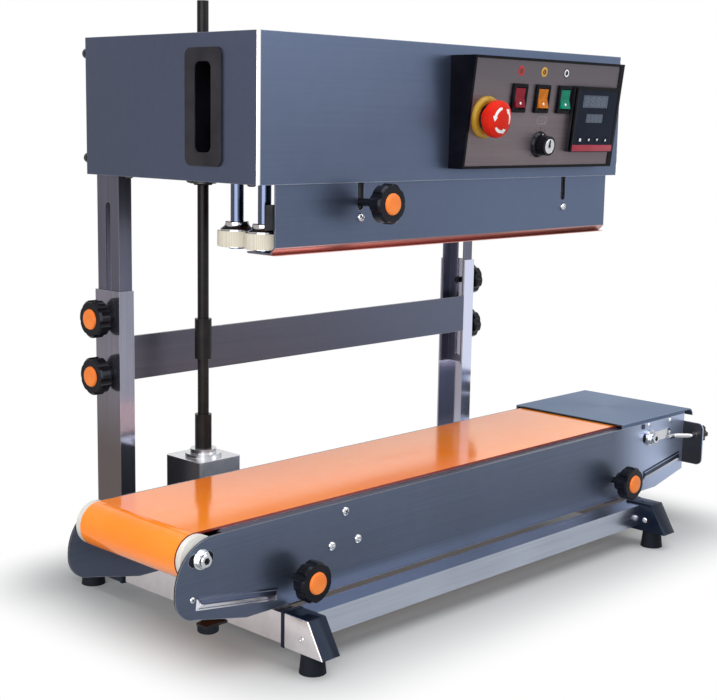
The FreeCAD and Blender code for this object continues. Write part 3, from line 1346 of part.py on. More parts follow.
motor_can = rod("motor_can", d.motor_x, face_y + d.motor_setback, d.head_bottom + d.motor_rise,
                d.motor_radius, d.motor_length, toward_right)
motor_foot = block("motor_foot", d.motor_x + d.motor_length / 4, face_y + d.motor_setback - d.motor_radius / 2,
                   floor_top, d.motor_length / 2, d.motor_radius, d.motor_rise - d.floor_gauge)
keep("drive_motor", join("drive_motor", motor_can, motor_foot))


# Check every object and write one file for each piece
doc.recompute()
failed = [thing.Name for thing in doc.Objects if "Invalid" in thing.State or "Error" in thing.State]
if failed:
    raise RuntimeError("objects in error: " + ", ".join(failed))
os.makedirs("parts", exist_ok=True)
for name, thing in nodes.items():
    if thing.Shape.isNull() or not thing.Shape.isValid() or not thing.Shape.Solids:
        raise RuntimeError("bad shape: " + name)
    thing.Shape.exportStep("parts/%s.step" % name)
print("nodes", len(nodes), "solids", sum(len(thing.Shape.Solids) for thing in nodes.values()))
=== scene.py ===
# Pouch packing machine: looks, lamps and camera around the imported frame
import bpy
import bmesh
import json
import math
from mathutils import Matrix, Vector

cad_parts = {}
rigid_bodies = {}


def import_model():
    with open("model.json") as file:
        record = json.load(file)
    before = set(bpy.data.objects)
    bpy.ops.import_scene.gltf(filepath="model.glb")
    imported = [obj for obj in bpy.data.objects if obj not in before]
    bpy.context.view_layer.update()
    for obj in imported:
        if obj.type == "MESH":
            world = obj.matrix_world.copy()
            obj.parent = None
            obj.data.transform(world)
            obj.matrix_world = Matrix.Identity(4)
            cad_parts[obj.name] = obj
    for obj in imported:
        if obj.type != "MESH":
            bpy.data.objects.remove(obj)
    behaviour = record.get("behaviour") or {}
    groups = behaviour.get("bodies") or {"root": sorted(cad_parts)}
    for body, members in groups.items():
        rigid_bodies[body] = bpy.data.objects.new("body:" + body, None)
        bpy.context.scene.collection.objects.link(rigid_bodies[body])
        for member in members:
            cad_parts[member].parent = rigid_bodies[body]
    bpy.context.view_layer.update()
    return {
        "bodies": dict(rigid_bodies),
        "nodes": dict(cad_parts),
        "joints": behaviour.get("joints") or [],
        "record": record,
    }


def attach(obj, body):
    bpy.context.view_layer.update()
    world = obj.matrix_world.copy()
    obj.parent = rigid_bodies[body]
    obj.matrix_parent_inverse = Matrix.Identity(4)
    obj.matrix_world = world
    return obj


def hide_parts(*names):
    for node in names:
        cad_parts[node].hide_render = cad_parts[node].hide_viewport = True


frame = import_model()
cadNodes = frame["nodes"]
print("frame loaded:", len(cadNodes), "nodes")


# Camera at the photograph's place; angles in degrees, lengths in metres
cameraValues = {
    "place": (-1.16048, -1.05830, 0.50942),
    "turn": 46.007,
    "look down": 9.402,
    "roll": 0.988,
    "lens": 70.09,
    "sensor": 36.0,
}


def addCamera(values):
    turn, down, roll = (math.radians(values[key]) for key in ("turn", "look down", "roll"))
    ahead = Vector((math.sin(turn) * math.cos(down), math.cos(turn) * math.cos(down), -math.sin(down)))
    right = ahead.cross(Vector((0, 0, 1))).normalized()
    above = right.cross(ahead)
    rolledRight = right * math.cos(roll) + above * math.sin(roll)
    rolledAbove = above * math.cos(roll) - right * math.sin(roll)
    lens = bpy.data.cameras.new("viewCamera")
    lens.lens = values["lens"]
    lens.sensor_width = values["sensor"]
    lens.clip_start = 0.01
    lens.clip_end = 100
    camera = bpy.data.objects.new("viewCamera", lens)
    axes = Matrix((rolledRight, rolledAbove, -ahead)).transposed().to_4x4()
    camera.matrix_world = Matrix.Translation(Vector(values["place"])) @ axes
    bpy.context.scene.collection.objects.link(camera)
    bpy.context.scene.camera = camera
    return camera


addCamera(cameraValues)
print("camera set")


# Small helpers for node trees
def addNode(tree, kind, values=None, **settings):
    made = tree.nodes.new("ShaderNode" + kind)
    for key, value in settings.items():
        setattr(made, key, value)
    for key, value in (values or {}).items():
        made.inputs[key].default_value = value
    return made


def mathNode(tree, operation, first, second=0.0, clamp=False):
    made = addNode(tree, "Math", operation=operation, use_clamp=clamp)
    for socket, value in zip(made.inputs, (first, second)):
        if isinstance(value, (int, float)):
            socket.default_value = value
        else:
            tree.links.new(value, socket)
    return made.outputs[0]


def rangeNode(tree, value, low, high, toLow=0.0, toHigh=1.0, kind="LINEAR"):
    made = addNode(tree, "MapRange", {"From Min": low, "From Max": high, "To Min": toLow, "To Max": toHigh},
                   interpolation_type=kind)
    tree.links.new(value, made.inputs["Value"])
    return made.outputs[0]


def vectorNode(tree, operation, *given):
    made = addNode(tree, "VectorMath", operation=operation)
    for socket, value in zip(made.inputs, given):
        if isinstance(value, bpy.types.NodeSocket):
            tree.links.new(value, socket)
        else:
            socket.default_value = value
    return made.outputs["Value" if operation in ("DOT_PRODUCT", "LENGTH") else "Vector"]


def mixColour(tree, factor, first, second):
    made = addNode(tree, "Mix", data_type="RGBA")
    for socket, value in ((made.inputs[0], factor), (made.inputs[6], first), (made.inputs[7], second)):
        if isinstance(value, bpy.types.NodeSocket):
            tree.links.new(value, socket)
        elif isinstance(value, (int, float)):
            socket.default_value = value
        else:
            socket.default_value = (*value, 1)
    return made.outputs[2]


def newEffect(name, inputs, outputs):
    tree = bpy.data.node_groups.new(name, "ShaderNodeTree")
    for label, kind, start in inputs:
        socket = tree.interface.new_socket(label, in_out="INPUT", socket_type="NodeSocket" + kind)
        socket.default_value = start
    for label, kind in outputs:
        tree.interface.new_socket(label, in_out="OUTPUT", socket_type="NodeSocket" + kind)
    return tree, tree.nodes.new("NodeGroupInput"), tree.nodes.new("NodeGroupOutput")


# Effects that several finishes share
def makeBrushLines():
    tree, given, result = newEffect(
        "brushLines", [("Stretch", "Vector", (4, 400, 400)), ("Patch Scale", "Float", 7.0)],
        [("Lines", "Float"), ("Patches", "Float")])
    place = addNode(tree, "TexCoord")
    stretched = vectorNode(tree, "MULTIPLY", place.outputs["Object"], given.outputs["Stretch"])
    lines = addNode(tree, "TexNoise", {"Scale": 1.0, "Detail": 5.0, "Roughness": 0.65})
    tree.links.new(stretched, lines.inputs["Vector"])
    patches = addNode(tree, "TexNoise", {"Detail": 2.0})
    tree.links.new(place.outputs["Object"], patches.inputs["Vector"])
    tree.links.new(given.outputs["Patch Scale"], patches.inputs["Scale"])
    tree.links.new(lines.outputs[0], result.inputs["Lines"])
    tree.links.new(patches.outputs[0], result.inputs["Patches"])
    return tree


# Lighter rounded edges: partly edge wear, partly a painted highlight where bends catch the light
def makeEdgeWearAndSheen():
    tree, given, result = newEffect(
        "edgeWearAndSheen", [("Width", "Float", 0.0012), ("Strength", "Float", 5.0), ("Break Up", "Float", 60.0)],
        [("Mask", "Float")])
    rounded = addNode(tree, "Bevel", samples=4)
    tree.links.new(given.outputs["Width"], rounded.inputs["Radius"])
    flat = addNode(tree, "NewGeometry")
    facing = vectorNode(tree, "DOT_PRODUCT", rounded.outputs[0], flat.outputs["Normal"])
    bend = mathNode(tree, "SUBTRACT", 1.0, facing)
    place = addNode(tree, "TexCoord")
    spots = addNode(tree, "TexNoise", {"Detail": 3.0})
    tree.links.new(place.outputs["Object"], spots.inputs["Vector"])
    tree.links.new(given.outputs["Break Up"], spots.inputs["Scale"])
    broken = rangeNode(tree, spots.outputs[0], 0.3, 0.7, 0.45, 1.0)
    strong = mathNode(tree, "MULTIPLY", bend, given.outputs["Strength"])
    tree.links.new(mathNode(tree, "MULTIPLY", strong, broken, clamp=True), result.inputs["Mask"])
    return tree


def makeFineGrain():
    tree, given, result = newEffect(
        "fineGrain", [("Scale", "Float", 900.0)], [("Height", "Float"), ("Tone", "Float")])
    place = addNode(tree, "TexCoord")
    pits = addNode(tree, "TexVoronoi", feature="SMOOTH_F1")
    tree.links.new(place.outputs["Object"], pits.inputs["Vector"])
    tree.links.new(given.outputs["Scale"], pits.inputs["Scale"])
    tones = addNode(tree, "TexNoise", {"Scale": 35.0, "Detail": 4.0})
    tree.links.new(place.outputs["Object"], tones.inputs["Vector"])
    tree.links.new(pits.outputs["Distance"], result.inputs["Height"])
    tree.links.new(tones.outputs[0], result.inputs["Tone"])
    return tree


def makeSettledDust():
    tree, given, result = newEffect(
        "settledDust", [("Scale", "Float", 26.0), ("Amount", "Float", 0.3)], [("Mask", "Float")])
    place = addNode(tree, "TexCoord")
    cloud = addNode(tree, "TexNoise", {"Detail": 6.0, "Roughness": 0.6})
    tree.links.new(place.outputs["Object"], cloud.inputs["Vector"])
    tree.links.new(given.outputs["Scale"], cloud.inputs["Scale"])
    surface = addNode(tree, "NewGeometry")
    parts = addNode(tree, "SeparateXYZ")
    tree.links.new(surface.outputs["Normal"], parts.inputs[0])
    upward = rangeNode(tree, parts.outputs["Z"], 0.2, 1.0, 0.25, 1.0)
    film = rangeNode(tree, cloud.outputs[0], 0.42, 0.72)
    thin = mathNode(tree, "MULTIPLY", film, upward)
    tree.links.new(mathNode(tree, "MULTIPLY", thin, given.outputs["Amount"], clamp=True),
                   result.inputs["Mask"])
    return tree


effects = {
    "brushLines": makeBrushLines(),
    "edgeWearAndSheen": makeEdgeWearAndSheen(),
    "fineGrain": makeFineGrain(),
    "settledDust": makeSettledDust(),
}
print("effects ready:", ", ".join(effects))


def useEffect(tree, name, values):
    made = tree.nodes.new("ShaderNodeGroup")
    made.node_tree = effects[name]
    for key, value in values.items():
        made.inputs[key].default_value = value
    return made


def newFinish(name):
    finish = bpy.data.materials.new(name)
    finish.use_nodes = True
    tree = finish.node_tree
    return finish, tree, tree.nodes["Principled BSDF"]


def addBump(tree, shader, height, strength, distance):
    bump = addNode(tree, "Bump", {"Strength": strength, "Distance": distance})
    tree.links.new(height, bump.inputs["Height"])
    tree.links.new(bump.outputs[0], shader.inputs["Normal"])


# Sheet, bars and castings: brushed or painted metal with brighter edges that are partly edge wear and partly
# painted highlight, with painted reflection gradients and painted shade
usualMetal = {"metal": 1.0, "patch": 9.0, "tone": 0.1, "wearAndSheen": (1.0, 0.0006), "grain": 0.03,
              "anisotropic": 0.0, "specular": 0.5, "grazing": (1, 1, 1), "ends": None, "painted light": (),
              "bump distance": 0.0006, "dust": (70.0, 0.04, (0.55, 0.53, 0.50))}
metalValues = {  # lighter edges, edge wear and painted highlight: strength, width; painted light changes: along, from, to, colour, axis faced
    # painted light changes: head, bar and side plates lighter towards +X, and posts lighter towards +X on
    # fronts and sides, are painted reflections; posts darker low on their sides and the panel darker at the top
    # are painted shade
    "headSheet": {"colour": (0.08, 0.104, 0.168), "edge": (0.52, 0.55, 0.62), "metal": 0.82,
        "rough": (0.3, 0.4), "stretch": (5, 500, 500), "patch": 5.0, "tone": 0.09, "wearAndSheen": (2.4, 0.0013),
        "grain": 0.035, "anisotropic": 0.35, "painted light": [("X", -0.15, 0.1, (0.092, 0.126, 0.206), "Y")]},
    # side plate ends: faces looking along X darker, painted shade
    "sideSheet": {"colour": (0.092, 0.115, 0.172), "edge": (0.62, 0.64, 0.7), "metal": 0.8,
        "rough": (0.27, 0.38), "stretch": (4, 600, 600), "patch": 6.0, "tone": 0.14, "wearAndSheen": (2.6, 0.001),
        "grain": 0.04, "anisotropic": 0.35, "ends": (0.045, 0.044, 0.048),
        "painted light": [("X", 0.24, 0.345, (0.4, 0.47, 0.65), "Y")]},
    "postSheet": {"colour": (0.255, 0.26, 0.33), "edge": (0.72, 0.72, 0.75), "metal": 0.9,
        "rough": (0.09, 0.17), "stretch": (300, 300, 6), "patch": 8.0, "tone": 0.18, "wearAndSheen": (2.0, 0.001),
        "anisotropic": 0.3,
        "painted light": [("Z", 0.26, 0.14, (0.15, 0.132, 0.135), "X"),
                    ("X", -0.1, 0.25, (0.66, 0.7, 0.88), "Y"),
                    ("X", 0.2, 0.27, (0.46, 0.47, 0.58), "X")]},
    "legSheet": {"colour": (0.125, 0.13, 0.18), "edge": (0.6, 0.6, 0.64), "metal": 0.9,
        "rough": (0.26, 0.38), "stretch": (300, 300, 6), "patch": 8.0, "tone": 0.2, "wearAndSheen": (2.0, 0.001),
        "anisotropic": 0.3},
    "barSheet": {"colour": (0.09, 0.092, 0.125), "edge": (0.62, 0.64, 0.7), "metal": 0.75,
        "rough": (0.3, 0.42), "stretch": (5, 500, 500), "patch": 7.0, "tone": 0.16, "wearAndSheen": (2.4, 0.0009),
        "anisotropic": 0.3, "painted light": [("X", -0.2, 0.25, (0.11, 0.128, 0.19), "Y")]},
    "tubeSteel": {"colour": (0.57, 0.61, 0.72), "edge": (0.86, 0.86, 0.87), "rough": (0.16, 0.27),
        "stretch": (6, 420, 420), "tone": 0.14, "wearAndSheen": (1.2, 0.001), "anisotropic": 0.45},
    "darkSteel": {"colour": (0.055, 0.055, 0.062), "edge": (0.34, 0.34, 0.37), "metal": 0.7,
        "rough": (0.32, 0.46), "stretch": (90, 90, 90), "tone": 0.2, "wearAndSheen": (1.8, 0.0009), "grain": 0.04},
    "chromePlate": {"colour": (0.58, 0.59, 0.62), "edge": (0.8, 0.8, 0.82), "rough": (0.07, 0.14),
        "stretch": (120, 120, 120), "patch": 12.0, "tone": 0.06, "wearAndSheen": (0.6, 0.0006), "grain": 0.008},
    "turnedSteel": {"colour": (0.52, 0.52, 0.54), "edge": (0.82, 0.82, 0.84), "rough": (0.2, 0.32),
        "stretch": (900, 40, 900), "patch": 12.0, "anisotropic": 0.5},
    "coverSheet": {"colour": (0.088, 0.118, 0.192), "edge": (0.6, 0.66, 0.78), "metal": 0.85,
        "rough": (0.26, 0.36), "stretch": (4, 600, 600), "patch": 6.0, "tone": 0.14, "wearAndSheen": (2.2, 0.001),
        "anisotropic": 0.35, "grazing": (0.74, 0.85, 1.0)},
    "columnChrome": {"colour": (0.1, 0.125, 0.2), "edge": (0.75, 0.78, 0.84), "rough": (0.08, 0.16),
        "stretch": (120, 120, 20), "patch": 12.0, "wearAndSheen": (0.8, 0.0006), "grain": 0.01},
    "capPlated": {"colour": (0.74, 0.7, 0.72), "edge": (0.88, 0.86, 0.87), "rough": (0.14, 0.24),
        "stretch": (60, 60, 60), "patch": 10.0, "wearAndSheen": (0.8, 0.0008)},
    "shaftBlack": {"colour": (0.012, 0.011, 0.012), "edge": (0.13, 0.12, 0.13), "metal": 0.4,
        "rough": (0.26, 0.38), "stretch": (60, 60, 6), "tone": 0.2, "wearAndSheen": (1.2, 0.0006), "grain": 0.02,
        "specular": 0.2},
    # lip: its salmon colour is a painted reflection of the orange belt
    "lipPaintedReflection": {"colour": (0.56, 0.3, 0.275), "edge": (0.62, 0.36, 0.32), "rough": (0.26, 0.36),
        "stretch": (5, 500, 500), "tone": 0.08, "wearAndSheen": (0.8, 0.0006), "grain": 0.02, "anisotropic": 0.3},
    # ribs: a dark copy as painted shade and a bright copy as painted light of one pressed metal; the dark one
    # also colours the plate clip
    "ribPaintedShadeAndClip": {"colour": (0.034, 0.044, 0.078), "edge": (0.4, 0.44, 0.54), "metal": 0.8,
        "rough": (0.24, 0.34), "stretch": (8, 400, 400), "patch": 8.0, "tone": 0.15, "wearAndSheen": (1.4, 0.0006),
        "grain": 0.02, "anisotropic": 0.2},
    "ribPaintedLight": {"colour": (0.74, 0.75, 0.82), "edge": (0.88, 0.88, 0.9), "rough": (0.18, 0.28),
        "stretch": (8, 400, 400), "patch": 8.0, "grain": 0.02, "anisotropic": 0.2},
    # gearbox ends: its sides looking along X darker, painted shade
    "gearboxMetal": {"colour": (0.7, 0.71, 0.74), "edge": (0.82, 0.82, 0.84), "metal": 0.76,
        "rough": (0.16, 0.26), "stretch": (160, 160, 160), "patch": 14.0, "tone": 0.16,
        "wearAndSheen": (1.6, 0.0012), "grain": 0.05, "ends": (0.06, 0.06, 0.07)},
    # painted highlight on the head's bent corners
    "bendPaintedHighlight": {"colour": (0.88, 0.86, 0.87), "edge": (0.95, 0.94, 0.94), "rough": (0.12, 0.22),
        "stretch": (400, 400, 8), "patch": 10.0, "tone": 0.05, "wearAndSheen": (0.4, 0.0005), "grain": 0.02},
    "milledAluminium": {"colour": (0.66, 0.66, 0.68), "edge": (0.85, 0.85, 0.86), "rough": (0.22, 0.34),
        "stretch": (30, 700, 700), "patch": 10.0, "anisotropic": 0.3},
    "panelSheet": {"colour": (0.145, 0.118, 0.13), "edge": (0.5, 0.47, 0.44), "metal": 0.7,
        "rough": (0.3, 0.44), "stretch": (5, 700, 700), "patch": 7.0, "tone": 0.22, "wearAndSheen": (1.6, 0.0006),
        "anisotropic": 0.4, "painted light": [("Z", 0.52, 0.575, (0.098, 0.088, 0.102), "Y")]},
}


def partOf(tree, vector, axis):
    parts = addNode(tree, "SeparateXYZ")
    tree.links.new(vector, parts.inputs[0])
    return parts.outputs[axis]


# How squarely a surface looks along one axis, either way: 0 below low, 1 above high
def facingShare(tree, axis, low=0.5, high=0.9):
    part = partOf(tree, addNode(tree, "NewGeometry").outputs["Normal"], axis)
    return rangeNode(tree, mathNode(tree, "ABSOLUTE", part), low, high)


# Dust as its scale, amount and colour: its mask, and the colour under it
def addDust(tree, colour, scale, amount, shade):
    mask = useEffect(tree, "settledDust", {"Scale": scale, "Amount": amount}).outputs["Mask"]
    return mask, mixColour(tree, mask, colour, shade)


def makeMetal(name, values):
    values = {**usualMetal, **values}
    finish, tree, shader = newFinish(name)
    brush = useEffect(tree, "brushLines", {"Stretch": values["stretch"], "Patch Scale": values["patch"]})
    strength, width = values["wearAndSheen"]
    wearAndSheen = useEffect(tree, "edgeWearAndSheen", {"Width": width, "Strength": strength})
    base, tone = Vector(values["colour"]), values["tone"]
    blend = mathNode(tree, "ADD", mathNode(tree, "MULTIPLY", brush.outputs["Lines"], 0.6),
                     mathNode(tree, "MULTIPLY", brush.outputs["Patches"], 0.4))
    body = mixColour(tree, rangeNode(tree, blend, 0.32, 0.68), base * (1 - tone), base * (1 + tone))
    # Painted light: each change lightens or darkens the colour along one axis on faces looking along another,
    # as painted reflection gradients and painted shade
    for along, start, end, colour, facing in values["painted light"]:
        place = addNode(tree, "TexCoord").outputs["Object"]
        share = rangeNode(tree, partOf(tree, place, along), start, end, kind="SMOOTHSTEP")
        shown = mathNode(tree, "MULTIPLY", share, facingShare(tree, facing))
        body = mixColour(tree, shown, body, colour)
    # Ends: faces looking along X take a darker colour, painted shade
    if values["ends"]:
        body = mixColour(tree, facingShare(tree, "X"), body, values["ends"])
    # lighter edges: edge wear and painted highlight on bends
    edged = mixColour(tree, wearAndSheen.outputs["Mask"], body, values["edge"])
    mask, dusted = addDust(tree, edged, *values["dust"])
    tree.links.new(dusted, shader.inputs["Base Color"])
    rough = rangeNode(tree, blend, 0.3, 0.7, *values["rough"])
    tree.links.new(mathNode(tree, "ADD", rough, mathNode(tree, "MULTIPLY", mask, 0.5)),
                   shader.inputs["Roughness"])
    shader.inputs["Metallic"].default_value = values["metal"]
    shader.inputs["Anisotropic"].default_value = values["anisotropic"]
    shader.inputs["Specular Tint"].default_value = (*values["grazing"], 1)
    shader.inputs["Specular IOR Level"].default_value = values["specular"]
    addBump(tree, shader, brush.outputs["Lines"], values["grain"], values["bump distance"])
    return finish


# Moulded plastic and rubber
usualMoulded = {"rough": (0.4, 0.5), "grain": 900.0, "bump": 0.01, "coat": 0.0, "dust": 0.02,
                "specular": 0.32, "tint": (1, 1, 1), "wearAndSheen": (1.2, 0.0007), "coat rough": 0.12,
                "bump distance": 0.0004, "dust colour": (0.45, 0.43, 0.40)}
mouldedValues = {
    "knobPlastic": {"colour": (0.004, 0.004, 0.006), "light": (0.008, 0.008, 0.012), "rough": (0.1, 0.18),
        "grain": 700.0, "bump": 0.04, "dust": 0.012, "specular": 0.17, "tint": (0.8, 0.88, 1.0)},
    "blackPlastic": {"colour": (0.01, 0.01, 0.014), "light": (0.02, 0.02, 0.026), "rough": (0.38, 0.5),
        "bump": 0.08, "dust": 0.06, "specular": 0.22},
    # painted shade deep in the handle pockets
    "recessPaintedShade": {"colour": (0.002, 0.002, 0.003), "light": (0.004, 0.004, 0.006), "rough": (0.55, 0.7),
        "bump": 0.05, "dust": 0.01, "specular": 0.05},
    "glossBlack": {"colour": (0.002, 0.002, 0.004), "light": (0.005, 0.005, 0.008), "rough": (0.1, 0.18),
        "grain": 1200.0, "dust": 0.005, "specular": 0.07},
    "rubberBlack": {"colour": (0.006, 0.007, 0.01), "light": (0.011, 0.013, 0.018), "rough": (0.58, 0.74),
        "grain": 1100.0, "bump": 0.2, "dust": 0.04, "specular": 0.12, "tint": (0.75, 0.86, 1.0)},
    "capOrange": {"colour": (0.8, 0.185, 0.026), "light": (0.88, 0.24, 0.04), "rough": (0.3, 0.4),
        "grain": 800.0, "bump": 0.03, "coat": 0.1, "dust": 0.04, "specular": 0.25},
    "stopRed": {"colour": (0.56, 0.016, 0.008), "light": (0.68, 0.028, 0.014), "rough": (0.2, 0.3),
        "grain": 700.0, "bump": 0.02, "dust": 0.005, "specular": 0.05},
    "stopYellow": {"colour": (0.34, 0.185, 0.012), "light": (0.42, 0.245, 0.022), "rough": (0.22, 0.32),
        "grain": 700.0, "bump": 0.02, "coat": 0.05, "specular": 0.25},
    "creamNylon": {"colour": (0.62, 0.6, 0.56), "light": (0.7, 0.69, 0.65), "rough": (0.34, 0.48),
        "grain": 600.0, "bump": 0.05, "coat": 0.1, "dust": 0.1},
    "markRed": {"colour": (0.36, 0.012, 0.014), "light": (0.44, 0.02, 0.022), "dust": 0.03},
    "markAmber": {"colour": (0.52, 0.29, 0.035), "light": (0.6, 0.35, 0.05), "dust": 0.03},
    "markDeep": {"colour": (0.085, 0.012, 0.012), "light": (0.11, 0.02, 0.016)},
    "stripRed": {"colour": (0.3, 0.018, 0.04), "light": (0.38, 0.028, 0.055), "rough": (0.3, 0.4),
        "coat": 0.1, "specular": 0.25},
    "controllerFace": {"colour": (0.004, 0.008, 0.018), "light": (0.006, 0.011, 0.024),
        "rough": (0.22, 0.38), "grain": 1200.0, "bump": 0.02, "dust": 0.005, "specular": 0.06},
    "markGrey": {"colour": (0.2, 0.185, 0.19), "light": (0.25, 0.235, 0.24)},
    "segmentGrey": {"colour": (0.088, 0.11, 0.15), "light": (0.105, 0.128, 0.17), "rough": (0.3, 0.4),
        "grain": 1200.0, "dust": 0.01, "specular": 0.2},
    "capBlack": {"colour": (0.004, 0.006, 0.014), "light": (0.008, 0.012, 0.024), "rough": (0.12, 0.2),
        "bump": 0.02, "dust": 0.008, "specular": 0.2, "tint": (0.55, 0.72, 1.0)},
    "printWhite": {"colour": (0.74, 0.74, 0.73), "light": (0.84, 0.84, 0.83), "dust": 0.03},
}


def makeMoulded(name, values):
    values = {**usualMoulded, **values}
    finish, tree, shader = newFinish(name)
    grain = useEffect(tree, "fineGrain", {"Scale": values["grain"]})
    strength, width = values["wearAndSheen"]
    wearAndSheen = useEffect(tree, "edgeWearAndSheen", {"Width": width, "Strength": strength})
    base, light = Vector(values["colour"]), Vector(values["light"])
    toned = mixColour(tree, rangeNode(tree, grain.outputs["Tone"], 0.35, 0.65), base, light)
    # lighter edges: edge wear and painted highlight
    edged = mixColour(tree, wearAndSheen.outputs["Mask"], toned, light * 1.5 + Vector((0.01, 0.01, 0.01)))
    mask, dusted = addDust(tree, edged, 26.0, values["dust"], values["dust colour"])
    tree.links.new(dusted, shader.inputs["Base Color"])
    rough = rangeNode(tree, grain.outputs["Tone"], 0.3, 0.7, *values["rough"])
    tree.links.new(mathNode(tree, "ADD", rough, mathNode(tree, "MULTIPLY", mask, 0.4)),
                   shader.inputs["Roughness"])
    shader.inputs["Coat Weight"].default_value = values["coat"]
    shader.inputs["Coat Roughness"].default_value = values["coat rough"]
    shader.inputs["Specular IOR Level"].default_value = values["specular"]
    shader.inputs["Specular Tint"].default_value = (*values["tint"], 1)
    addBump(tree, shader, grain.outputs["Height"], values["bump"], values["bump distance"])
    return finish


# Conveyor belt: orange coated web with a satin shine
beltValues = {"colour": (0.97, 0.215, 0.003), "light": (1.0, 0.275, 0.006), "rough": (0.12, 0.20),
              "side": (0.24, 0.030, 0.024), "weave": 520.0, "bump": 0.03, "coat": 0.15, "scuffs": 14.0,
              "scuff stretch": (0.35, 2.0, 1.0), "dust": (40.0, 0.08, (0.95, 0.62, 0.42))}


def makeBelt(values):
    finish, tree, shader = newFinish("beltOrange")
    place = addNode(tree, "TexCoord")
    tone = addNode(tree, "TexNoise", {"Scale": 4.0, "Detail": 4.0})
    tree.links.new(place.outputs["Object"], tone.inputs["Vector"])
    body = mixColour(tree, rangeNode(tree, tone.outputs[0], 0.35, 0.65), values["colour"],
                     values["light"])
    scuffs = addNode(tree, "TexNoise", {"Scale": values["scuffs"], "Detail": 7.0, "Roughness": 0.62})
    long = vectorNode(tree, "MULTIPLY", place.outputs["Object"], values["scuff stretch"])
    tree.links.new(long, scuffs.inputs["Vector"])
    rubbed = rangeNode(tree, scuffs.outputs[0], 0.48, 0.72)
    sides = mixColour(tree, facingShare(tree, "Y", 0.4, 0.8), body, values["side"])
    tree.links.new(addDust(tree, sides, *values["dust"])[1], shader.inputs["Base Color"])
    smooth, coarse = values["rough"]
    tree.links.new(rangeNode(tree, rubbed, 0.0, 1.0, smooth, coarse), shader.inputs["Roughness"])
    weave = addNode(tree, "TexVoronoi", {"Scale": values["weave"]}, feature="SMOOTH_F1")
    tree.links.new(place.outputs["Object"], weave.inputs["Vector"])
    shader.inputs["Coat Weight"].default_value = values["coat"]
    shader.inputs["Coat Roughness"].default_value = 0.08
    addBump(tree, shader, weave.outputs["Distance"], values["bump"], 0.0003)
    return finish


# Sealing belts: woven glass cloth with a cream coating
clothValues = {"thread": (0.74, 0.71, 0.62), "gap": (0.56, 0.52, 0.42), "threads": 900.0, "rough": 0.42,
               "dust": (26.0, 0.15, (0.45, 0.36, 0.24))}


def makeCoatedCloth(values):
    finish, tree, shader = newFinish("coatedCloth")
    place = addNode(tree, "TexCoord")
    weave = []
    for direction in ("X", "Z"):
        wave = addNode(tree, "TexWave", {"Scale": math.tau * values["threads"] / 20, "Distortion": 0.4},
                       wave_type="BANDS", bands_direction=direction)
        tree.links.new(place.outputs["Object"], wave.inputs["Vector"])
        weave.append(wave.outputs["Fac"])
    crossed = mathNode(tree, "MULTIPLY", *weave)
    woven = mixColour(tree, crossed, values["gap"], values["thread"])
    tree.links.new(addDust(tree, woven, *values["dust"])[1], shader.inputs["Base Color"])
    tree.links.new(rangeNode(tree, crossed, 0.0, 1.0, values["rough"] + 0.15, values["rough"]),
                   shader.inputs["Roughness"])
    addBump(tree, shader, crossed, 0.15, 0.0003)
    return finish


# Lit rocker lenses: clear coloured plastic with a lamp behind it
lensValues = {
    "lensRed": {"colour": (0.170, 0.006, 0.018), "glow": (0.9, 0.03, 0.05), "light": 0.05},
    "lensAmber": {"colour": (0.48, 0.135, 0.006), "glow": (1.0, 0.30, 0.01), "light": 0.06},
    "lensGreen": {"colour": (0.003, 0.170, 0.105), "glow": (0.01, 0.75, 0.45), "light": 0.03},
}


def makeLens(name, values):
    finish, tree, shader = newFinish(name)
    place = addNode(tree, "TexCoord")
    ribs = addNode(tree, "TexWave", {"Scale": 260.0, "Distortion": 0.0}, bands_direction="Z")
    tree.links.new(place.outputs["Object"], ribs.inputs["Vector"])
    cloud = addNode(tree, "TexNoise", {"Scale": 120.0, "Detail": 2.0})
    tree.links.new(place.outputs["Object"], cloud.inputs["Vector"])
    uneven = rangeNode(tree, cloud.outputs[0], 0.3, 0.7)
    base = Vector(values["colour"])
    tree.links.new(mixColour(tree, uneven, base * 0.75, base * 1.2), shader.inputs["Base Color"])
    glow = Vector(values["glow"])
    tree.links.new(mixColour(tree, uneven, glow * 0.55, glow), shader.inputs["Emission Color"])
    shader.inputs["Emission Strength"].default_value = values["light"]
    tree.links.new(rangeNode(tree, uneven, 0.0, 1.0, 0.12, 0.2), shader.inputs["Roughness"])
    shader.inputs["Coat Weight"].default_value = 0.02
    shader.inputs["Specular IOR Level"].default_value = 0.10
    addBump(tree, shader, ribs.outputs["Fac"], 0.06, 0.0003)
    return finish


# Display windows of the temperature controller
windowValues = {"colour": (0.052, 0.070, 0.104), "light": (0.068, 0.088, 0.126), "rough": 0.14}


def makeWindow(values):
    finish, tree, shader = newFinish("displayWindow")
    place = addNode(tree, "TexCoord")
    haze = addNode(tree, "TexNoise", {"Scale": 60.0, "Detail": 3.0})
    tree.links.new(place.outputs["Object"], haze.inputs["Vector"])
    factor = rangeNode(tree, haze.outputs[0], 0.35, 0.65)
    tree.links.new(mixColour(tree, factor, values["colour"], values["light"]), shader.inputs["Base Color"])
    tree.links.new(rangeNode(tree, factor, 0.0, 1.0, values["rough"], values["rough"] + 0.08),
                   shader.inputs["Roughness"])
    shader.inputs["Coat Weight"].default_value = 0.1
    shader.inputs["Coat Roughness"].default_value = 0.04
    shader.inputs["Specular IOR Level"].default_value = 0.25
    return finish


finishes = {name: makeMetal(name, values) for name, values in metalValues.items()}
finishes.update({name: makeMoulded(name, values) for name, values in mouldedValues.items()})
finishes.update({name: makeLens(name, values) for name, values in lensValues.items()})
finishes["beltOrange"] = makeBelt(beltValues)
finishes["coatedCloth"] = makeCoatedCloth(clothValues)
finishes["displayWindow"] = makeWindow(windowValues)
print("finishes ready:", len(finishes))


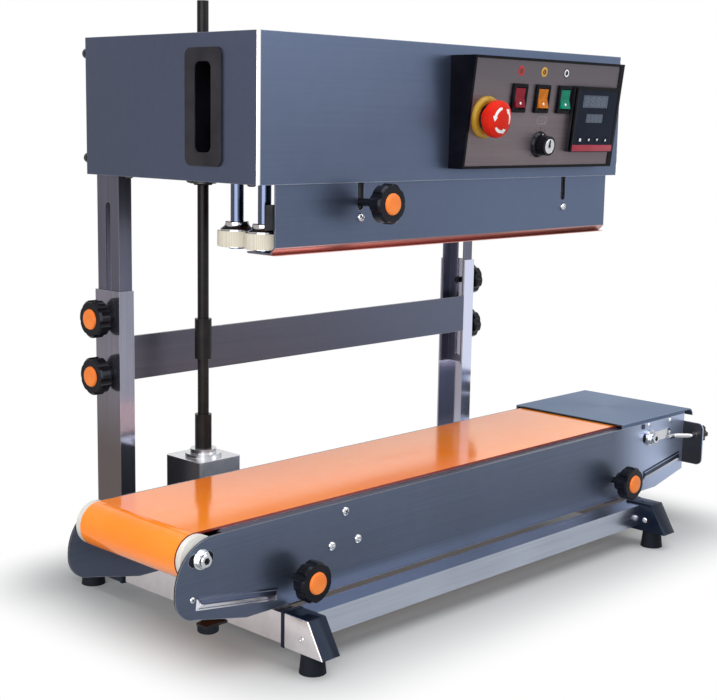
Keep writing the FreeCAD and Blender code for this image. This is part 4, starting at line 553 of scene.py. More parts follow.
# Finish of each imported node
nodeFinishes = {
    "headSheet": ["head_cover", "front_guard"],
    "sideSheet": ["conveyor_front_plate", "conveyor_back_plate"],
    "coverSheet": ["end_cover"],
    "postSheet": ["posts"],
    "legSheet": ["legs"],
    "barSheet": ["crossbar"],
    "tubeSteel": ["long_tubes", "plate_spacers", "slider_bed"],
    "capPlated": ["base_caps", "cross_tubes"],
    "shaftBlack": ["upright_shaft", "shaft_couplings"],
    "darkSteel": ["conveyor_saddles", "bearing_flanges", "head_floor", "drive_motor"],
    "columnChrome": ["wheel_shafts"],
    "chromePlate": ["roller_axles", "bearing_screws", "tension_rods", "guard_screws",
                    "left_front_wheel", "left_rear_wheel", "right_front_wheel", "right_rear_wheel"],
    "turnedSteel": ["left_roller", "right_roller", "drive_roller"],
    "gearboxMetal": ["gearbox"],
    "milledAluminium": ["pressing_blocks"],
    "panelSheet": ["control_plate"],
    "knobPlastic": ["left_upper_knob", "left_lower_knob", "right_upper_knob", "right_lower_knob",
                    "conveyor_left_knob", "conveyor_right_knob", "guard_knob", "front_tension_knob",
                    "rear_tension_knob"],
    "blackPlastic": ["handle_cups", "speed_dial", "temperature_controller"],
    "glossBlack": ["control_bezel", "switch_frames"],
    "rubberBlack": ["rubber_feet"],
    "stopRed": ["stop_button"],
    "creamNylon": ["roller_discs"],
    "controllerFace": ["controller_key_1", "controller_key_2", "controller_key_3", "controller_key_4"],
    "lensRed": ["red_rocker"],
    "lensAmber": ["amber_rocker"],
    "lensGreen": ["green_rocker"],
    "beltOrange": ["conveyor_belt"],
    "coatedCloth": ["seal_belts"],
}
for finishName, members in nodeFinishes.items():
    for member in members:
        slots = cadNodes[member].data.materials
        for index in range(len(slots)):
            slots[index] = finishes[finishName]
print("nodes finished:", sum(len(members) for members in nodeFinishes.values()), "of", len(cadNodes))


# Mesh tools shared by the pieces; outlines and profiles are in millimetres
mm = 0.001


def frameAt(place, out, above=None):  # above is +Z, or +Y where out looks straight up or down
    ahead = Vector(out).normalized()
    if above is None:
        above = (0, 1, 0) if abs(ahead.z) > 0.9 else (0, 0, 1)
    side = Vector(above).cross(ahead).normalized()
    axes = Matrix((side, ahead.cross(side), ahead)).transposed().to_4x4()
    return Matrix.Translation(Vector(place) * mm) @ axes


def lathe(profile, steps=48):
    shape = bmesh.new()
    rings = []
    for radius, height in profile:
        if radius == 0:
            rings.append([shape.verts.new((0, 0, height * mm))])
            continue
        turns = [math.tau * index / steps for index in range(steps)]
        rings.append([shape.verts.new((radius * mm * math.cos(turn), radius * mm * math.sin(turn), height * mm))
                      for turn in turns])
    for lower, upper in zip(rings, rings[1:]):
        for index in range(steps):
            after = (index + 1) % steps
            corners = [lower[index % len(lower)], lower[after % len(lower)],
                       upper[after % len(upper)], upper[index % len(upper)]]
            shape.faces.new(list(dict.fromkeys(corners)))
    return shape


def roundedOutline(width, height, radius, middle=(0, 0), steps=5):
    points = []
    for cornerX, cornerY, start in ((1, -1, -90), (1, 1, 0), (-1, 1, 90), (-1, -1, 180)):
        for step in range(steps + 1):
            turn = math.radians(start + 90 * step / steps)
            points.append((middle[0] + cornerX * (width / 2 - radius) + radius * math.cos(turn),
                           middle[1] + cornerY * (height / 2 - radius) + radius * math.sin(turn)))
    return points


def slab(outline, low, high, bevel=0.0, segments=2):
    shape = bmesh.new()
    lower = [shape.verts.new((x * mm, y * mm, low * mm)) for x, y in outline]
    upper = [shape.verts.new((x * mm, y * mm, high * mm)) for x, y in outline]
    shape.faces.new(list(reversed(lower)))
    shape.faces.new(upper)
    for index in range(len(outline)):
        after = (index + 1) % len(outline)
        shape.faces.new((lower[index], lower[after], upper[after], upper[index]))
    if bevel:
        rim = [edge for edge in shape.edges if edge.verts[0] in upper and edge.verts[1] in upper]
        bmesh.ops.bevel(shape, geom=rim, offset=bevel * mm, segments=segments, profile=0.5, affect="EDGES",
                        clamp_overlap=True)
    bmesh.ops.recalc_face_normals(shape, faces=shape.faces)
    return shape


def rimSlab(outer, inner, low, high, bevel=0.0):
    shape = bmesh.new()
    loops = [[shape.verts.new((x * mm, y * mm, height * mm)) for x, y in outline]
             for outline, height in ((outer, low), (outer, high), (inner, high), (inner, low))]
    for start, end in zip(loops, loops[1:] + loops[:1]):
        for index in range(len(outer)):
            after = (index + 1) % len(outer)
            shape.faces.new((start[index], start[after], end[after], end[index]))
    if bevel:
        rims = set(loops[1]), set(loops[2])
        edges = [edge for edge in shape.edges if any(set(edge.verts) <= rim for rim in rims)]
        bmesh.ops.bevel(shape, geom=edges, offset=bevel * mm, segments=2, profile=0.5, affect="EDGES",
                        clamp_overlap=True)
    bmesh.ops.recalc_face_normals(shape, faces=shape.faces)
    return shape


def joined(shapes):
    whole = bmesh.new()
    for shape in shapes:
        mesh = bpy.data.meshes.new("share")
        shape.to_mesh(mesh)
        shape.free()
        whole.from_mesh(mesh)
        bpy.data.meshes.remove(mesh)
    return whole


def toMesh(name, shape, finish, smoothAngle=32):
    mesh = bpy.data.meshes.new(name)
    shape.to_mesh(mesh)
    shape.free()
    mesh.materials.append(finishes[finish])
    mesh.polygons.foreach_set("use_smooth", [True] * len(mesh.polygons))
    mesh.set_sharp_from_angle(angle=math.radians(smoothAngle))
    return mesh


def addPiece(name, shape, finish, body, place=None, smoothAngle=32):
    made = bpy.data.objects.new(name, toMesh(name, shape, finish, smoothAngle))
    made.matrix_world = place or Matrix()
    bpy.context.scene.collection.objects.link(made)
    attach(made, body)
    return made


def carve(piece, cutters):
    smooth = piece.data.polygons[0].use_smooth
    for shape in cutters:
        mesh = bpy.data.meshes.new("cutter")
        shape.to_mesh(mesh)
        shape.free()
        cutter = bpy.data.objects.new("cutter", mesh)
        cutter.matrix_world = piece.matrix_world
        bpy.context.scene.collection.objects.link(cutter)
        cut = piece.modifiers.new("cut", "BOOLEAN")
        cut.object = cutter
        cut.solver = "EXACT"
        bpy.context.view_layer.update()
        seen = piece.evaluated_get(bpy.context.evaluated_depsgraph_get())
        result = bpy.data.meshes.new_from_object(seen)
        piece.modifiers.clear()
        result.name = piece.name
        piece.data = result
        bpy.data.objects.remove(cutter)
        bpy.data.meshes.remove(mesh)
    piece.data.polygons.foreach_set("use_smooth", [smooth] * len(piece.data.polygons))
    piece.data.set_sharp_from_angle(angle=math.radians(32))
    return piece


# Orange caps in the star knobs
knobCapValues = {
    "radius": 10.3,
    "height": 2.3,
    "sink": 1.5,
    "places": {
        "conveyor_left_knob": ((-283, -165, 80), (0, -1, 0)),
        "conveyor_right_knob": ((250, -165, 80), (0, -1, 0)),
        "guard_knob": ((-152.5, -130, 427.5), (0, -1, 0)),
        "left_upper_knob": ((-315.3, 151.5, 297), (-1, 0, 0)),
        "left_lower_knob": ((-315.3, 151.5, 236), (-1, 0, 0)),
        "right_upper_knob": ((315.3, 151.5, 297), (1, 0, 0)),
        "right_lower_knob": ((315.3, 151.5, 236), (1, 0, 0)),
    },
}


def addKnobCaps(values):
    radius, height, sink = values["radius"], values["height"], values["sink"]
    for knob, (place, out) in values["places"].items():
        profile = [(radius + 0.5, -sink - 0.2), (radius + 0.5, 0.3 - sink), (radius, 0.35 - sink),
                   (radius, height - sink - 0.9), (radius - 0.35, height - sink - 0.45),
                   (radius - 1.2, height - sink - 0.2), (radius * 0.5, height - sink - 0.05),
                   (0, height - sink)]
        addPiece(knob + "_cap", lathe(profile), "capOrange", knob + "_body", frameAt(place, out))


addKnobCaps(knobCapValues)


# Pan head screws with a cross recess
screwValues = {
    "bearing": {"node": "bearing_screws", "body": "base", "radius": 4.6, "height": 2.6, "out": (0, -1, 0),
                "finish": "chromePlate",
                "places": [(-216.8, -133, 130.6), (-234.99, -133, 99.1), (-198.61, -133, 99.1)]},
    "guard": {"node": "guard_screws", "body": "head", "radius": 4.5, "height": 3.6, "out": (0, -1, 0),
              "finish": "chromePlate", "places": [(-152.5, -84.5, 412), (188.6, -84.5, 412)]},
    "headBottom": {"body": "head", "radius": 4.2, "height": 2.4, "out": (0, 0, -1), "finish": "darkSteel",
                   "places": [(side * 285, back, 447) for side in (-1, 1) for back in (-70, 20, 120)]},
}


def crossCutters(radius, height, turn):
    arms = []
    for angle in (turn, turn + 90):
        along, across = math.cos(math.radians(angle)), math.sin(math.radians(angle))
        half, wide = radius * 0.56, radius * 0.13
        corners = [(-half, -wide), (half, -wide), (half, wide), (-half, wide)]
        turned = [(x * along - y * across, x * across + y * along) for x, y in corners]
        arms.append(slab(turned, height * 0.3, height + 1))
    return arms


def addScrews(label, values):
    radius, height = values["radius"], values["height"]
    profile = [(radius, -0.4), (radius, height * 0.30), (radius * 0.94, height * 0.55),
               (radius * 0.80, height * 0.78), (radius * 0.55, height * 0.94), (0, height)]
    for number, place in enumerate(values["places"], 1):
        screw = addPiece(f"{label}_screw_{number}", lathe(profile, 32), values["finish"], values["body"],
                         frameAt(place, values["out"]))
        carve(screw, crossCutters(radius, height, 20 + 37 * number))
        if "node" in values:
            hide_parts(values["node"])


for screwLabel, values in screwValues.items():
    addScrews(screwLabel, values)
print("knob caps and screws ready")


# Control panel: everything below stands on its tilted plate, x along, rise up the plate, out of it
panelValues = {"tilt": 7.005, "bottom": (0, -108, 459), "plate": -1.0}
panelTilt = math.radians(panelValues["tilt"])
panelOut = (0, -math.cos(panelTilt), -math.sin(panelTilt))


def onPanel(x, rise, out=0.0):
    whole = frameAt(panelValues["bottom"], panelOut)
    return whole @ Matrix.Translation(Vector((x, rise, panelValues["plate"] + out)) * mm)


# Emergency stop: yellow ring, red mushroom and its three turn arrows
stopValues = {"x": 4, "rise": 54.8, "ring": 22.3, "ring height": 5, "cap": 19.5, "neck": 3.4,
              "collar": 4.6, "cap low": 11, "cap high": 24.2,
              "arrow radius": 12.2, "arrow width": 3.2}


def domeHeight(radius, values):
    share = min(radius / values["cap"], 1)
    return values["cap high"] - 3.6 * share ** 4 - 0.5 * share ** 2


def arrowBand(values, start, sweep):
    shape = bmesh.new()
    steps = 16
    rows = []
    middle, wide = values["arrow radius"], values["arrow width"]
    for step in range(steps + 1):
        share = step / steps
        half = wide / 2 * (0.35 + 0.65 * math.sin(math.pi * min(share + 0.15, 0.5)))
        if share > 0.72:
            half = wide * 1.05 * (1 - share) / 0.28 + 0.05
        turn = math.radians(start + sweep * share)
        row = []
        for radius in (middle - half, middle, middle + half):
            row.append(shape.verts.new((radius * mm * math.cos(turn), radius * mm * math.sin(turn),
                                        (domeHeight(radius, values) + 0.12) * mm)))
        rows.append(row)
    for before, after in zip(rows, rows[1:]):
        for index in (0, 1):
            shape.faces.new((before[index], before[index + 1], after[index + 1], after[index]))
    bmesh.ops.recalc_face_normals(shape, faces=shape.faces)
    return shape


def addStop(values):
    ring, high = values["ring"], values["ring height"]
    place = onPanel(values["x"], values["rise"])
    profile = [(ring, -0.2), (ring, high * 0.45), (ring - 0.5, high * 0.72), (ring - 1.9, high * 0.94),
               (ring - 3.4, high), (ring - 6.2, high), (ring - 7.4, high * 0.86), (ring - 8.2, high * 0.5),
               (ring - 8.4, 0.2)]
    yellow = addPiece("stop_ring", lathe(profile, 64), "stopYellow", "head", place)
    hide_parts("switch_frames")
    low, top, cap = values["cap low"], values["cap high"], values["cap"]
    dome = [(cap * share, domeHeight(cap * share, values)) for share in (0.97, 0.9, 0.78, 0.6, 0.35)]
    neck, collar = values["neck"], values["collar"]
    body = [(neck, -6), (neck, collar), (12.3, collar + 0.2), (12.6, low - 0.6), (cap - 1.6, low),
            (cap - 0.3, low + 1.1), (cap, low + 2.6), (cap, top - 5.6)] + dome + [(0, top)]
    mushroom = addPiece("stop_mushroom", lathe(body, 64), "stopRed", "stop_button_body", place, 40)
    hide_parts("stop_button")
    for number, start in enumerate((100, 220, 340), 1):
        addPiece(f"stop_arrow_{number}", arrowBand(values, start, 88), "printWhite", "stop_button_body", place)


addStop(stopValues)


# Rocker frames, the round printed marks above them, and a small white dome low on each rocker as a painted
# glint
rockerValues = {"rise": 76, "frame": (25, 31), "window": (17.6, 23.2), "proud": 3.2,
                "columns": {"red": 56, "amber": 97, "green": 138}, "mark rise": 105, "mark radius": 5.4,
                "marks": {"red": ("markRed", "markDeep"), "amber": ("markAmber", "markDeep"),
                          "green": ("blackPlastic", "printWhite")},
                "rings": {"printWhite": (0.5, 0.78), "markDeep": (0.18, 0.52)},
                "paintedGlint": 1.5, "painted glint drop": 5.2}


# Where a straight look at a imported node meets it
def touchOn(node, place, reach=40):
    ahead = place.to_3x3() @ Vector((0, 0, 1))
    hit, spot, normal, _ = cadNodes[node].ray_cast(place @ Vector((0, 0, reach * mm)), -ahead)
    return (spot, normal) if hit else (place.translation, ahead)


def addRockers(values):
    for colour, x in values["columns"].items():
        outer = roundedOutline(*values["frame"], 1.6)
        inner = roundedOutline(*values["window"], 0.8)
        frame = addPiece(colour + "_frame", rimSlab(outer, inner, -0.1, values["proud"], 0.7), "glossBlack",
                         "head", onPanel(x, values["rise"]))
        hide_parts("switch_frames")
        radius = values["mark radius"]
        outside, inside = values["marks"][colour]
        profile = [(radius, -0.05), (radius, 0.12), (radius - 0.1, 0.16), (0, 0.16)]
        addPiece(colour + "_mark", lathe(profile, 40), outside, "head", onPanel(x, values["mark rise"]))
        small, large = (radius * share for share in values["rings"][inside])
        ring = [(small, 0.12), (large, 0.12), (large, 0.24), (small, 0.24), (small, 0.12)]
        addPiece(colour + "_symbol", lathe(ring, 40), inside, "head", onPanel(x, values["mark rise"]))
        # small white dome low on the rocker: a painted glint
        spot, normal = touchOn(colour + "_rocker", onPanel(x, values["rise"] - values["painted glint drop"]))
        paintedGlint = values["paintedGlint"]
        dome = [(paintedGlint, -0.3), (paintedGlint, 0.1), (paintedGlint * 0.8, 0.5), (paintedGlint * 0.4, 0.75), (0, 0.8)]
        addPiece(colour + "_painted_glint", lathe(dome, 24), "printWhite", colour + "_rocker_body",
                 frameAt(spot / mm, normal))


addRockers(rockerValues)


# Speed knob: skirt, fluted grip and pointer insert
dialValues = {"x": 104, "rise": 26, "skirt": 14.5, "skirt high": 4.2, "grip": 10.8, "high": 15.2,
              "flutes": 20, "flute": 0.42, "insert": 8.0, "scale radius": 18.5, "ticks": 11,
              "print": (19, 8.6, 0.9), "print rise": 26.5}


def addDial(values):
    place = onPanel(values["x"], values["rise"])
    skirt, skirtHigh = values["skirt"], values["skirt high"]
    profile = [(skirt, 0.1), (skirt, 0.9), (skirt - 0.4, 1.5), (skirt - 1.6, skirtHigh - 0.5),
               (skirt - 2.4, skirtHigh), (0, skirtHigh)]
    base = addPiece("dial_skirt", lathe(profile, 64), "knobPlastic", "speed_dial_body", place)
    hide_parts("speed_dial")
    grip, high = values["grip"], values["high"]
    outline = []
    count = values["flutes"] * 6
    for index in range(count):
        turn = math.tau * index / count
        radius = grip - values["flute"] * (0.5 - 0.5 * math.cos(turn * values["flutes"]))
        outline.append((radius * math.cos(turn), radius * math.sin(turn)))
    addPiece("dial_grip", slab(outline, skirtHigh - 0.2, high, 0.7, 3), "knobPlastic", "speed_dial_body", place)
    insert = values["insert"]
    disc = [(insert, high - 0.3), (insert, high + 0.3), (insert - 0.5, high + 0.5), (insert - 1.1, high + 0.35),
            (insert * 0.6, high + 0.1), (insert * 0.3, high), (0, high)]
    addPiece("dial_insert", lathe(disc, 48), "chromePlate", "speed_dial_body", place)
    bar = [(-0.9, -1.2), (0.9, -1.2), (0.9, insert - 1.4), (-0.9, insert - 1.4)]
    addPiece("dial_pointer", slab(bar, high - 0.1, high + 0.5), "glossBlack", "speed_dial_body", place)
    line = [(-0.6, grip + 0.2), (0.6, grip + 0.2), (0.6, skirt - 2.4), (-0.6, skirt - 2.4)]
    addPiece("dial_line", slab(line, skirtHigh - 0.1, skirtHigh + 0.12), "printWhite", "speed_dial_body", place)
    for number in range(values["ticks"]):
        turn = math.radians(225 - 270 * number / (values["ticks"] - 1))
        long = 2.6 if number % 5 == 0 else 1.6
        start = values["scale radius"] - 2.2
        mark = [(start, -0.22), (start + long, -0.22), (start + long, 0.22), (start, 0.22)]
        turned = [(x * math.cos(turn) - y * math.sin(turn), x * math.sin(turn) + y * math.cos(turn))
                  for x, y in mark]
        addPiece(f"dial_tick_{number}", slab(turned, -0.05, 0.12), "glossBlack", "head", place)
    wide, tall, line = values["print"]
    spot = (0, values["print rise"])
    ring = rimSlab(roundedOutline(wide, tall, tall / 2 - 0.1, spot),
                   roundedOutline(wide - 2 * line, tall - 2 * line, tall / 2 - line - 0.1, spot), -0.05, 0.12)
    bars = [slab(roundedOutline(line, tall * share, line / 3, (x, spot[1])), -0.05, 0.12)
            for x, share in ((-5.4, 0.30), (-1.8, 0.42), (1.8, 0.54), (5.4, 0.66))]
    addPiece("dial_print", joined([ring] + bars), "markGrey", "head", place)


addDial(dialValues)


# Temperature controller: slate face with two windows, key legends and a red strip
controllerValues = {"middle": 196, "rise": 55, "size": (84, 74), "proud": 7.0, "face": (76, 66),
                    "windows": {"process": (192, 75.5, 50, 15, 0.2), "target": (194, 56.5, 34, 11, 0.2)},
                    "keys": [170.8, 187.6, 204.4, 221.2], "key rise": 32, "strip": (196, 22.6, 78, 7.2),
                    "legend": 1.7,
                    "legends": [[(-1, -1), (1, -1), (1, 1), (-1, 1)], [(1, -1), (1, 1), (-1, 0)],
                                [(-1, 0.8), (0, -1), (1, 0.8)], [(-1, -0.8), (1, -0.8), (0, 1)]]}


# Unlit bars of the figures in a window
def segmentOutlines(middleX, middleY, width, tall, count):
    pitch, high, bar = width / (count + 0.6), tall * 0.66, tall * 0.09
    wide = pitch * 0.62
    outlines = []
    for index in range(count):
        x = middleX + (index - (count - 1) / 2) * pitch
        for level in (-1, 0, 1):
            y = middleY + level * (high - bar) / 2
            outlines.append([(x - wide / 2 + bar, y - bar / 2), (x + wide / 2 - bar, y - bar / 2),
                             (x + wide / 2 - bar, y + bar / 2), (x - wide / 2 + bar, y + bar / 2)])
        for side in (-1, 1):
            for level in (-1, 1):
                left = x + side * (wide - bar) / 2 - bar / 2
                low, top = sorted((middleY + level * bar * 0.7, middleY + level * (high / 2 - bar * 0.8)))
                outlines.append([(left, low), (left + bar, low), (left + bar, top), (left, top)])
    return outlines


def addController(values):
    middle, rise = values["middle"], values["rise"]
    place = onPanel(middle, rise)
    high = values["proud"]
    outer = roundedOutline(*values["size"], 1.8)
    inner = roundedOutline(*values["face"], 1.2)
    addPiece("controller_rim", rimSlab(outer, inner, high - 2.4, high + 0.5, 0.5), "glossBlack", "head", place)
    face = addPiece("controller_face", slab(inner, high - 0.6, high + 0.12), "controllerFace", "head", place)
    holes = []
    for x, height, width, tall, sink in values["windows"].values():
        holes.append(roundedOutline(width - 1, tall - 1, 0.8, (x - middle, height - rise)))
    for x in values["keys"]:
        holes.append(roundedOutline(9.8, 5.8, 1.2, (x - middle, values["key rise"] - rise)))
    carve(face, [slab(hole, high - 3, high + 2) for hole in holes])
    for label, (x, height, width, tall, sink) in values["windows"].items():
        pane = roundedOutline(width - 0.6, tall - 0.6, 0.9, (x - middle, height - rise))
        addPiece(label + "_window", slab(pane, high - 1.0, high - sink), "displayWindow", "head", place)
    x, height, width, tall = values["strip"]
    stripe = roundedOutline(width, tall, 0.4, (x - middle, height - rise))
    addPiece("controller_strip", slab(stripe, high - 0.5, high + 0.85, 0.3), "stripRed", "head", place)
    for label, (x, height, width, tall, sink) in values["windows"].items():
        digits = joined([slab(outline, high - 0.9, high - sink + 0.06)
                         for outline in segmentOutlines(x - middle, height - rise, width, tall, 4)])
        addPiece(label + "_segments", digits, "segmentGrey", "head", place)
    for number, (x, legend) in enumerate(zip(values["keys"], values["legends"]), 1):
        spot, normal = touchOn(f"controller_key_{number}", onPanel(x, values["key rise"]))
        outline = [(across * values["legend"], rising * values["legend"]) for across, rising in legend]
        addPiece(f"key_legend_{number}", slab(outline, -0.1, 0.1), "printWhite",
                 f"controller_key_{number}_body", frameAt(spot / mm, normal))


addController(controllerValues)
print("control panel ready")


# End caps of the base: plated outer sides, black top, slope and inner sides, a dark band at the seam; the black
# inner sides are a painted dark reflection of the machine's underside
capValues = {
    "width": 24.0, "foot": 19.5, "top": 53.5, "slope": 20, "edge": 0.9, "band": 4.0, "dimple": 3.2,
    "middles": {"left": -298.4, "right": 277.8},
    "ends": {"front": (-198.5, 1, 55), "rear": (198.5, -1, 94)},
}


def addBaseCaps(values):
    half = values["width"] / 2
    foot, high = values["foot"], values["top"] - values["foot"]
    for side, middle in values["middles"].items():
        for end, (tip, inward, seam) in values["ends"].items():
            place = frameAt((middle, tip, foot), (1, 0, 0))
            place = place @ Matrix.Scale(inward, 4, (1, 0, 0))
            outline = [(0, 0), (seam, 0), (seam, high), (values["slope"], high)]
            shape = slab(outline, -half, half)
            edges = [edge for edge in shape.edges
                     if min(vert.co.x for vert in edge.verts) < (seam - 1) * mm]
            bmesh.ops.bevel(shape, geom=edges, offset=values["edge"] * mm, segments=3, profile=0.5,
                            affect="EDGES", clamp_overlap=True)
            if inward < 0:
                bmesh.ops.reverse_faces(shape, faces=shape.faces)
            cap = addPiece(f"{side}_{end}_cap", shape, "capBlack", "base", place)
            cap.data.materials.append(finishes["capPlated"])
            # outward sides take the plated finish; inner sides stay black as a painted dark reflection of the
            # underside
            outward = 1 if middle > 0 else -1
            for face in cap.data.polygons:
                if face.normal.z * outward > 0.3:
                    face.material_index = 1
            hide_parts("base_caps")
            band = slab([(seam - values["band"], -0.35), (seam + 0.4, -0.35), (seam + 0.4, high + 0.35),
                         (seam - values["band"], high + 0.35)], -half - 0.35, half + 0.35, 0.2)
            if inward < 0:
                bmesh.ops.reverse_faces(band, faces=band.faces)
            addPiece(f"{side}_{end}_band", band, "capBlack", "base", place)
            if end == "front":
                dimple = [(values["dimple"], -0.1), (values["dimple"], 0.35), (values["dimple"] - 0.7, 0.75),
                          (1.2, 0.8), (0.8, 0.4), (0, 0.35)]
                for label, way in (("outer", -1), ("inner", 1)):
                    addPiece(f"{side}_cap_screw_{label}", lathe(dimple, 28), "capPlated", "base",
                             frameAt((middle + way * half, tip + 28, foot + 14), (way, 0, 0)))


addBaseCaps(capValues)


# End roller axles: turned bar, washers and socket bolts
axleValues = {"node": "roller_axles", "height": 121.5, "rod": 6.0, "washer": 9.4, "washer gauge": 1.6,
              "hex": 8.0, "hex high": 3.4, "socket": 6.2, "socket high": 4.0,
              "faces": (-133.0, 30.5), "stations": {"left": -398.5, "right": 325.0},
              "packing": {"left": 0, "right": 3}}


def hexOutline(radius, turn=0.0):
    turns = [math.radians(60 * index + turn) for index in range(6)]
    return [(radius * math.cos(angle), radius * math.sin(angle)) for angle in turns]


def addAxles(values):
    front, back = values["faces"]
    high = values["height"]
    for side, x in values["stations"].items():
        packing = values["packing"][side]
        rodShape = lathe([(0, 0), (values["rod"], 0), (values["rod"], back - front), (0, back - front)], 40)
        rod = addPiece(side + "_axle_rod", rodShape, "turnedSteel", "base",
                       frameAt((x, back, high), (0, -1, 0)))
        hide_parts(values["node"])
        for end, face, out in (("front", front - packing, -1), ("back", back + packing, 1)):
            place = frameAt((x, face, high), (0, out, 0))
            name = f"{side}_{end}_axle"
            washer, gauge = values["washer"], values["washer gauge"]
            addPiece(name + "_washer", lathe([(washer, 0), (washer, gauge - 0.3), (washer - 0.3, gauge),
                                              (0, gauge)], 48), "chromePlate", "base", place)
            top = gauge + values["hex high"]
            addPiece(name + "_nut", slab(hexOutline(values["hex"], 12), gauge, top, 0.6), "chromePlate", "base",
                     place, 20)
            socket, tip = values["socket"], top + values["socket high"] - 0.6
            head = lathe([(socket, top - 0.2), (socket, tip - 0.8), (socket - 0.8, tip), (0, tip)], 40)
            bolt = addPiece(name + "_bolt", head, "chromePlate", "base", place)
            carve(bolt, [slab(hexOutline(3.4), tip - 2.6, tip + 1)])
            addPiece(name + "_socket", slab(hexOutline(3.3), tip - 2.7, tip - 2.5), "rubberBlack", "base",
                     place)


addAxles(axleValues)


# Black slides in the axle slots and the rubber bumper under the front plate
slideValues = {"half": 13.6, "radius": 5.9, "low": -0.9, "high": -0.35}
bumperValues = {"place": (-378, -118, 54), "radius": 10, "high": 9.5, "bracket": (26, 15, 2)}


def addSlides(values):
    outline = roundedOutline(2 * values["half"], 2 * values["radius"], values["radius"] - 0.05)
    for side, x in axleValues["stations"].items():
        for end, face, out in (("front", -133, -1), ("back", 30.5, 1)):
            addPiece(f"{side}_{end}_slide", slab(outline, values["low"], values["high"]), "rubberBlack", "base",
                     frameAt((x, face, axleValues["height"]), (0, out, 0)))


def addBumper(values):
    radius, high = values["radius"], values["high"]
    x, y, z = values["place"]
    profile = [(radius - 2.2, 0), (radius - 0.6, 1.0), (radius, 2.4), (radius, high - 2.2),
               (radius - 0.5, high - 1.2), (radius - 1.6, high - 0.5), (3.4, high - 0.4), (3.0, high - 1.6),
               (0, high - 1.6)]
    addPiece("front_bumper", lathe(profile, 40), "rubberBlack", "base",
             frameAt((x, y, z), (0, 0, -1)))
    wide, deep, gauge = values["bracket"]
    outline = roundedOutline(wide, deep, 1.5)
    addPiece("bumper_bracket", slab(outline, 0, gauge, 0.3), "shaftBlack", "base",
             frameAt((x, -131 + deep / 2, z), (0, 0, 1)))


addSlides(slideValues)
addBumper(bumperValues)


# Pressed ribs at the ends of the side plates: dark upper slope as painted shade, bright lower slope as painted
# light
ribValues = {"half": 6.2, "depth": 3.4, "run out": 5.0,
             "ribs": {"left": ((-404, 81.2), (-306, 67.8)), "right": ((316, 72.8), (400, 86.4))}}


def addRibs(values):
    for side, (start, end) in values["ribs"].items():
        along = Vector((end[0] - start[0], 0, end[1] - start[1]))
        length = along.length
        middle = ((start[0] + end[0]) / 2, (start[1] + end[1]) / 2)
        for face, y, out in (("front", -133, -1), ("back", 30.5, 1)):
            shape = bmesh.new()
            half, depth, crestEnd = values["half"], values["depth"], length / 2 - values["run out"]
            corners = [(-length / 2, -half, 0), (length / 2, -half, 0), (length / 2, half, 0),
                       (-length / 2, half, 0), (-crestEnd, 0, depth), (crestEnd, 0, depth)]
            verts = [shape.verts.new([value * mm for value in corner]) for corner in corners]
            for ring in ((0, 1, 5, 4), (1, 2, 5), (2, 3, 4, 5), (3, 0, 4)):
                shape.faces.new([verts[index] for index in ring])
            crest = [edge for edge in shape.edges if verts[4] in edge.verts or verts[5] in edge.verts]
            bmesh.ops.bevel(shape, geom=crest, offset=0.9 * mm, segments=3, profile=0.6, affect="EDGES")
            above = Vector((-along.z, 0, along.x)).normalized()
            rib = addPiece(f"{side}_{face}_rib", shape, "ribPaintedShadeAndClip", "base",
                           frameAt((middle[0], y, middle[1]), (0, out, 0), above), 25)
            rib.data.materials.append(finishes["ribPaintedLight"])
            # lower slope takes the bright finish as painted light, upper slope keeps the dark finish as painted
            # shade
            for polygon in rib.data.polygons:
                if polygon.center.y < 0:
                    polygon.material_index = 1


addRibs(ribValues)


# Small screws and clips on the front plate
plateScrewValues = {"body": "base", "radius": 3.0, "height": 1.7, "out": (0, -1, 0), "finish": "chromePlate",
                    "places": [(-408.5, -133, 86), (324, -133, 137.2), (373, -133, 136.6)]}
clipValues = {"place": (311, -133, 137), "size": (5, 6), "corner": 0.8, "high": 1.4, "bevel": 0.4}
addScrews("plate", plateScrewValues)
clipOutline = roundedOutline(*clipValues["size"], clipValues["corner"])
# the clip takes the ribs' dark finish
addPiece("plate_clip", slab(clipOutline, 0, clipValues["high"], clipValues["bevel"]), "ribPaintedShadeAndClip", "base",
         frameAt(clipValues["place"], (0, -1, 0)))


# Head: rubber boot round the shaft
bootValues = {"place": (-216.8, 83.5, 447),
              "profile": [(6.5, 0), (17.5, 0), (17.2, 1.8), (13.5, 4.6), (10.2, 6.6), (9.4, 8.6), (6.5, 8.6),
                          (6.5, 0)]}
addPiece("shaft_boot", lathe(bootValues["profile"], 48), "rubberBlack", "head",
         frameAt(bootValues["place"], (0, 0, -1)))


# Dark bar behind the guard, with a dark patch up to the head behind each slot as painted shade inside the head
backingValues = {"bar": (-277, 277), "rise": (404, 428), "front": -82.2, "gauge": 3.0, "bevel": 0.5,
                 "patches": [-152.5, 188.6], "patch half": 10, "patch rise": (427, 446.5)}


def upright(across, rise, low, high, bevel=0.0):  # flat plate given by its sides and its foot and top
    (left, right), (foot, top) = across, rise
    return slab([(left, foot), (right, foot), (right, top), (left, top)], low, high, bevel)


def addBacking(values):
    gauge, half = values["gauge"], values["patch half"]
    place = frameAt((0, values["front"] + gauge, 0), (0, -1, 0))
    addPiece("guard_backing", upright(values["bar"], values["rise"], 0, gauge, values["bevel"]),
             "blackPlastic", "head", place)
    # patches behind the slots: painted shade inside the head
    for number, x in enumerate(values["patches"], 1):
        patch = upright((x - half, x + half), values["patch rise"], 0, gauge)
        addPiece(f"guard_slot_shade_{number}", patch, "blackPlastic", "head", place)


addBacking(backingValues)


# Rubber bumps on the back of the head
bumpValues = {"radius": 5.6, "height": 6.5, "x": (-287.4, 287.4), "y": 184.5, "rise": (572, 464)}


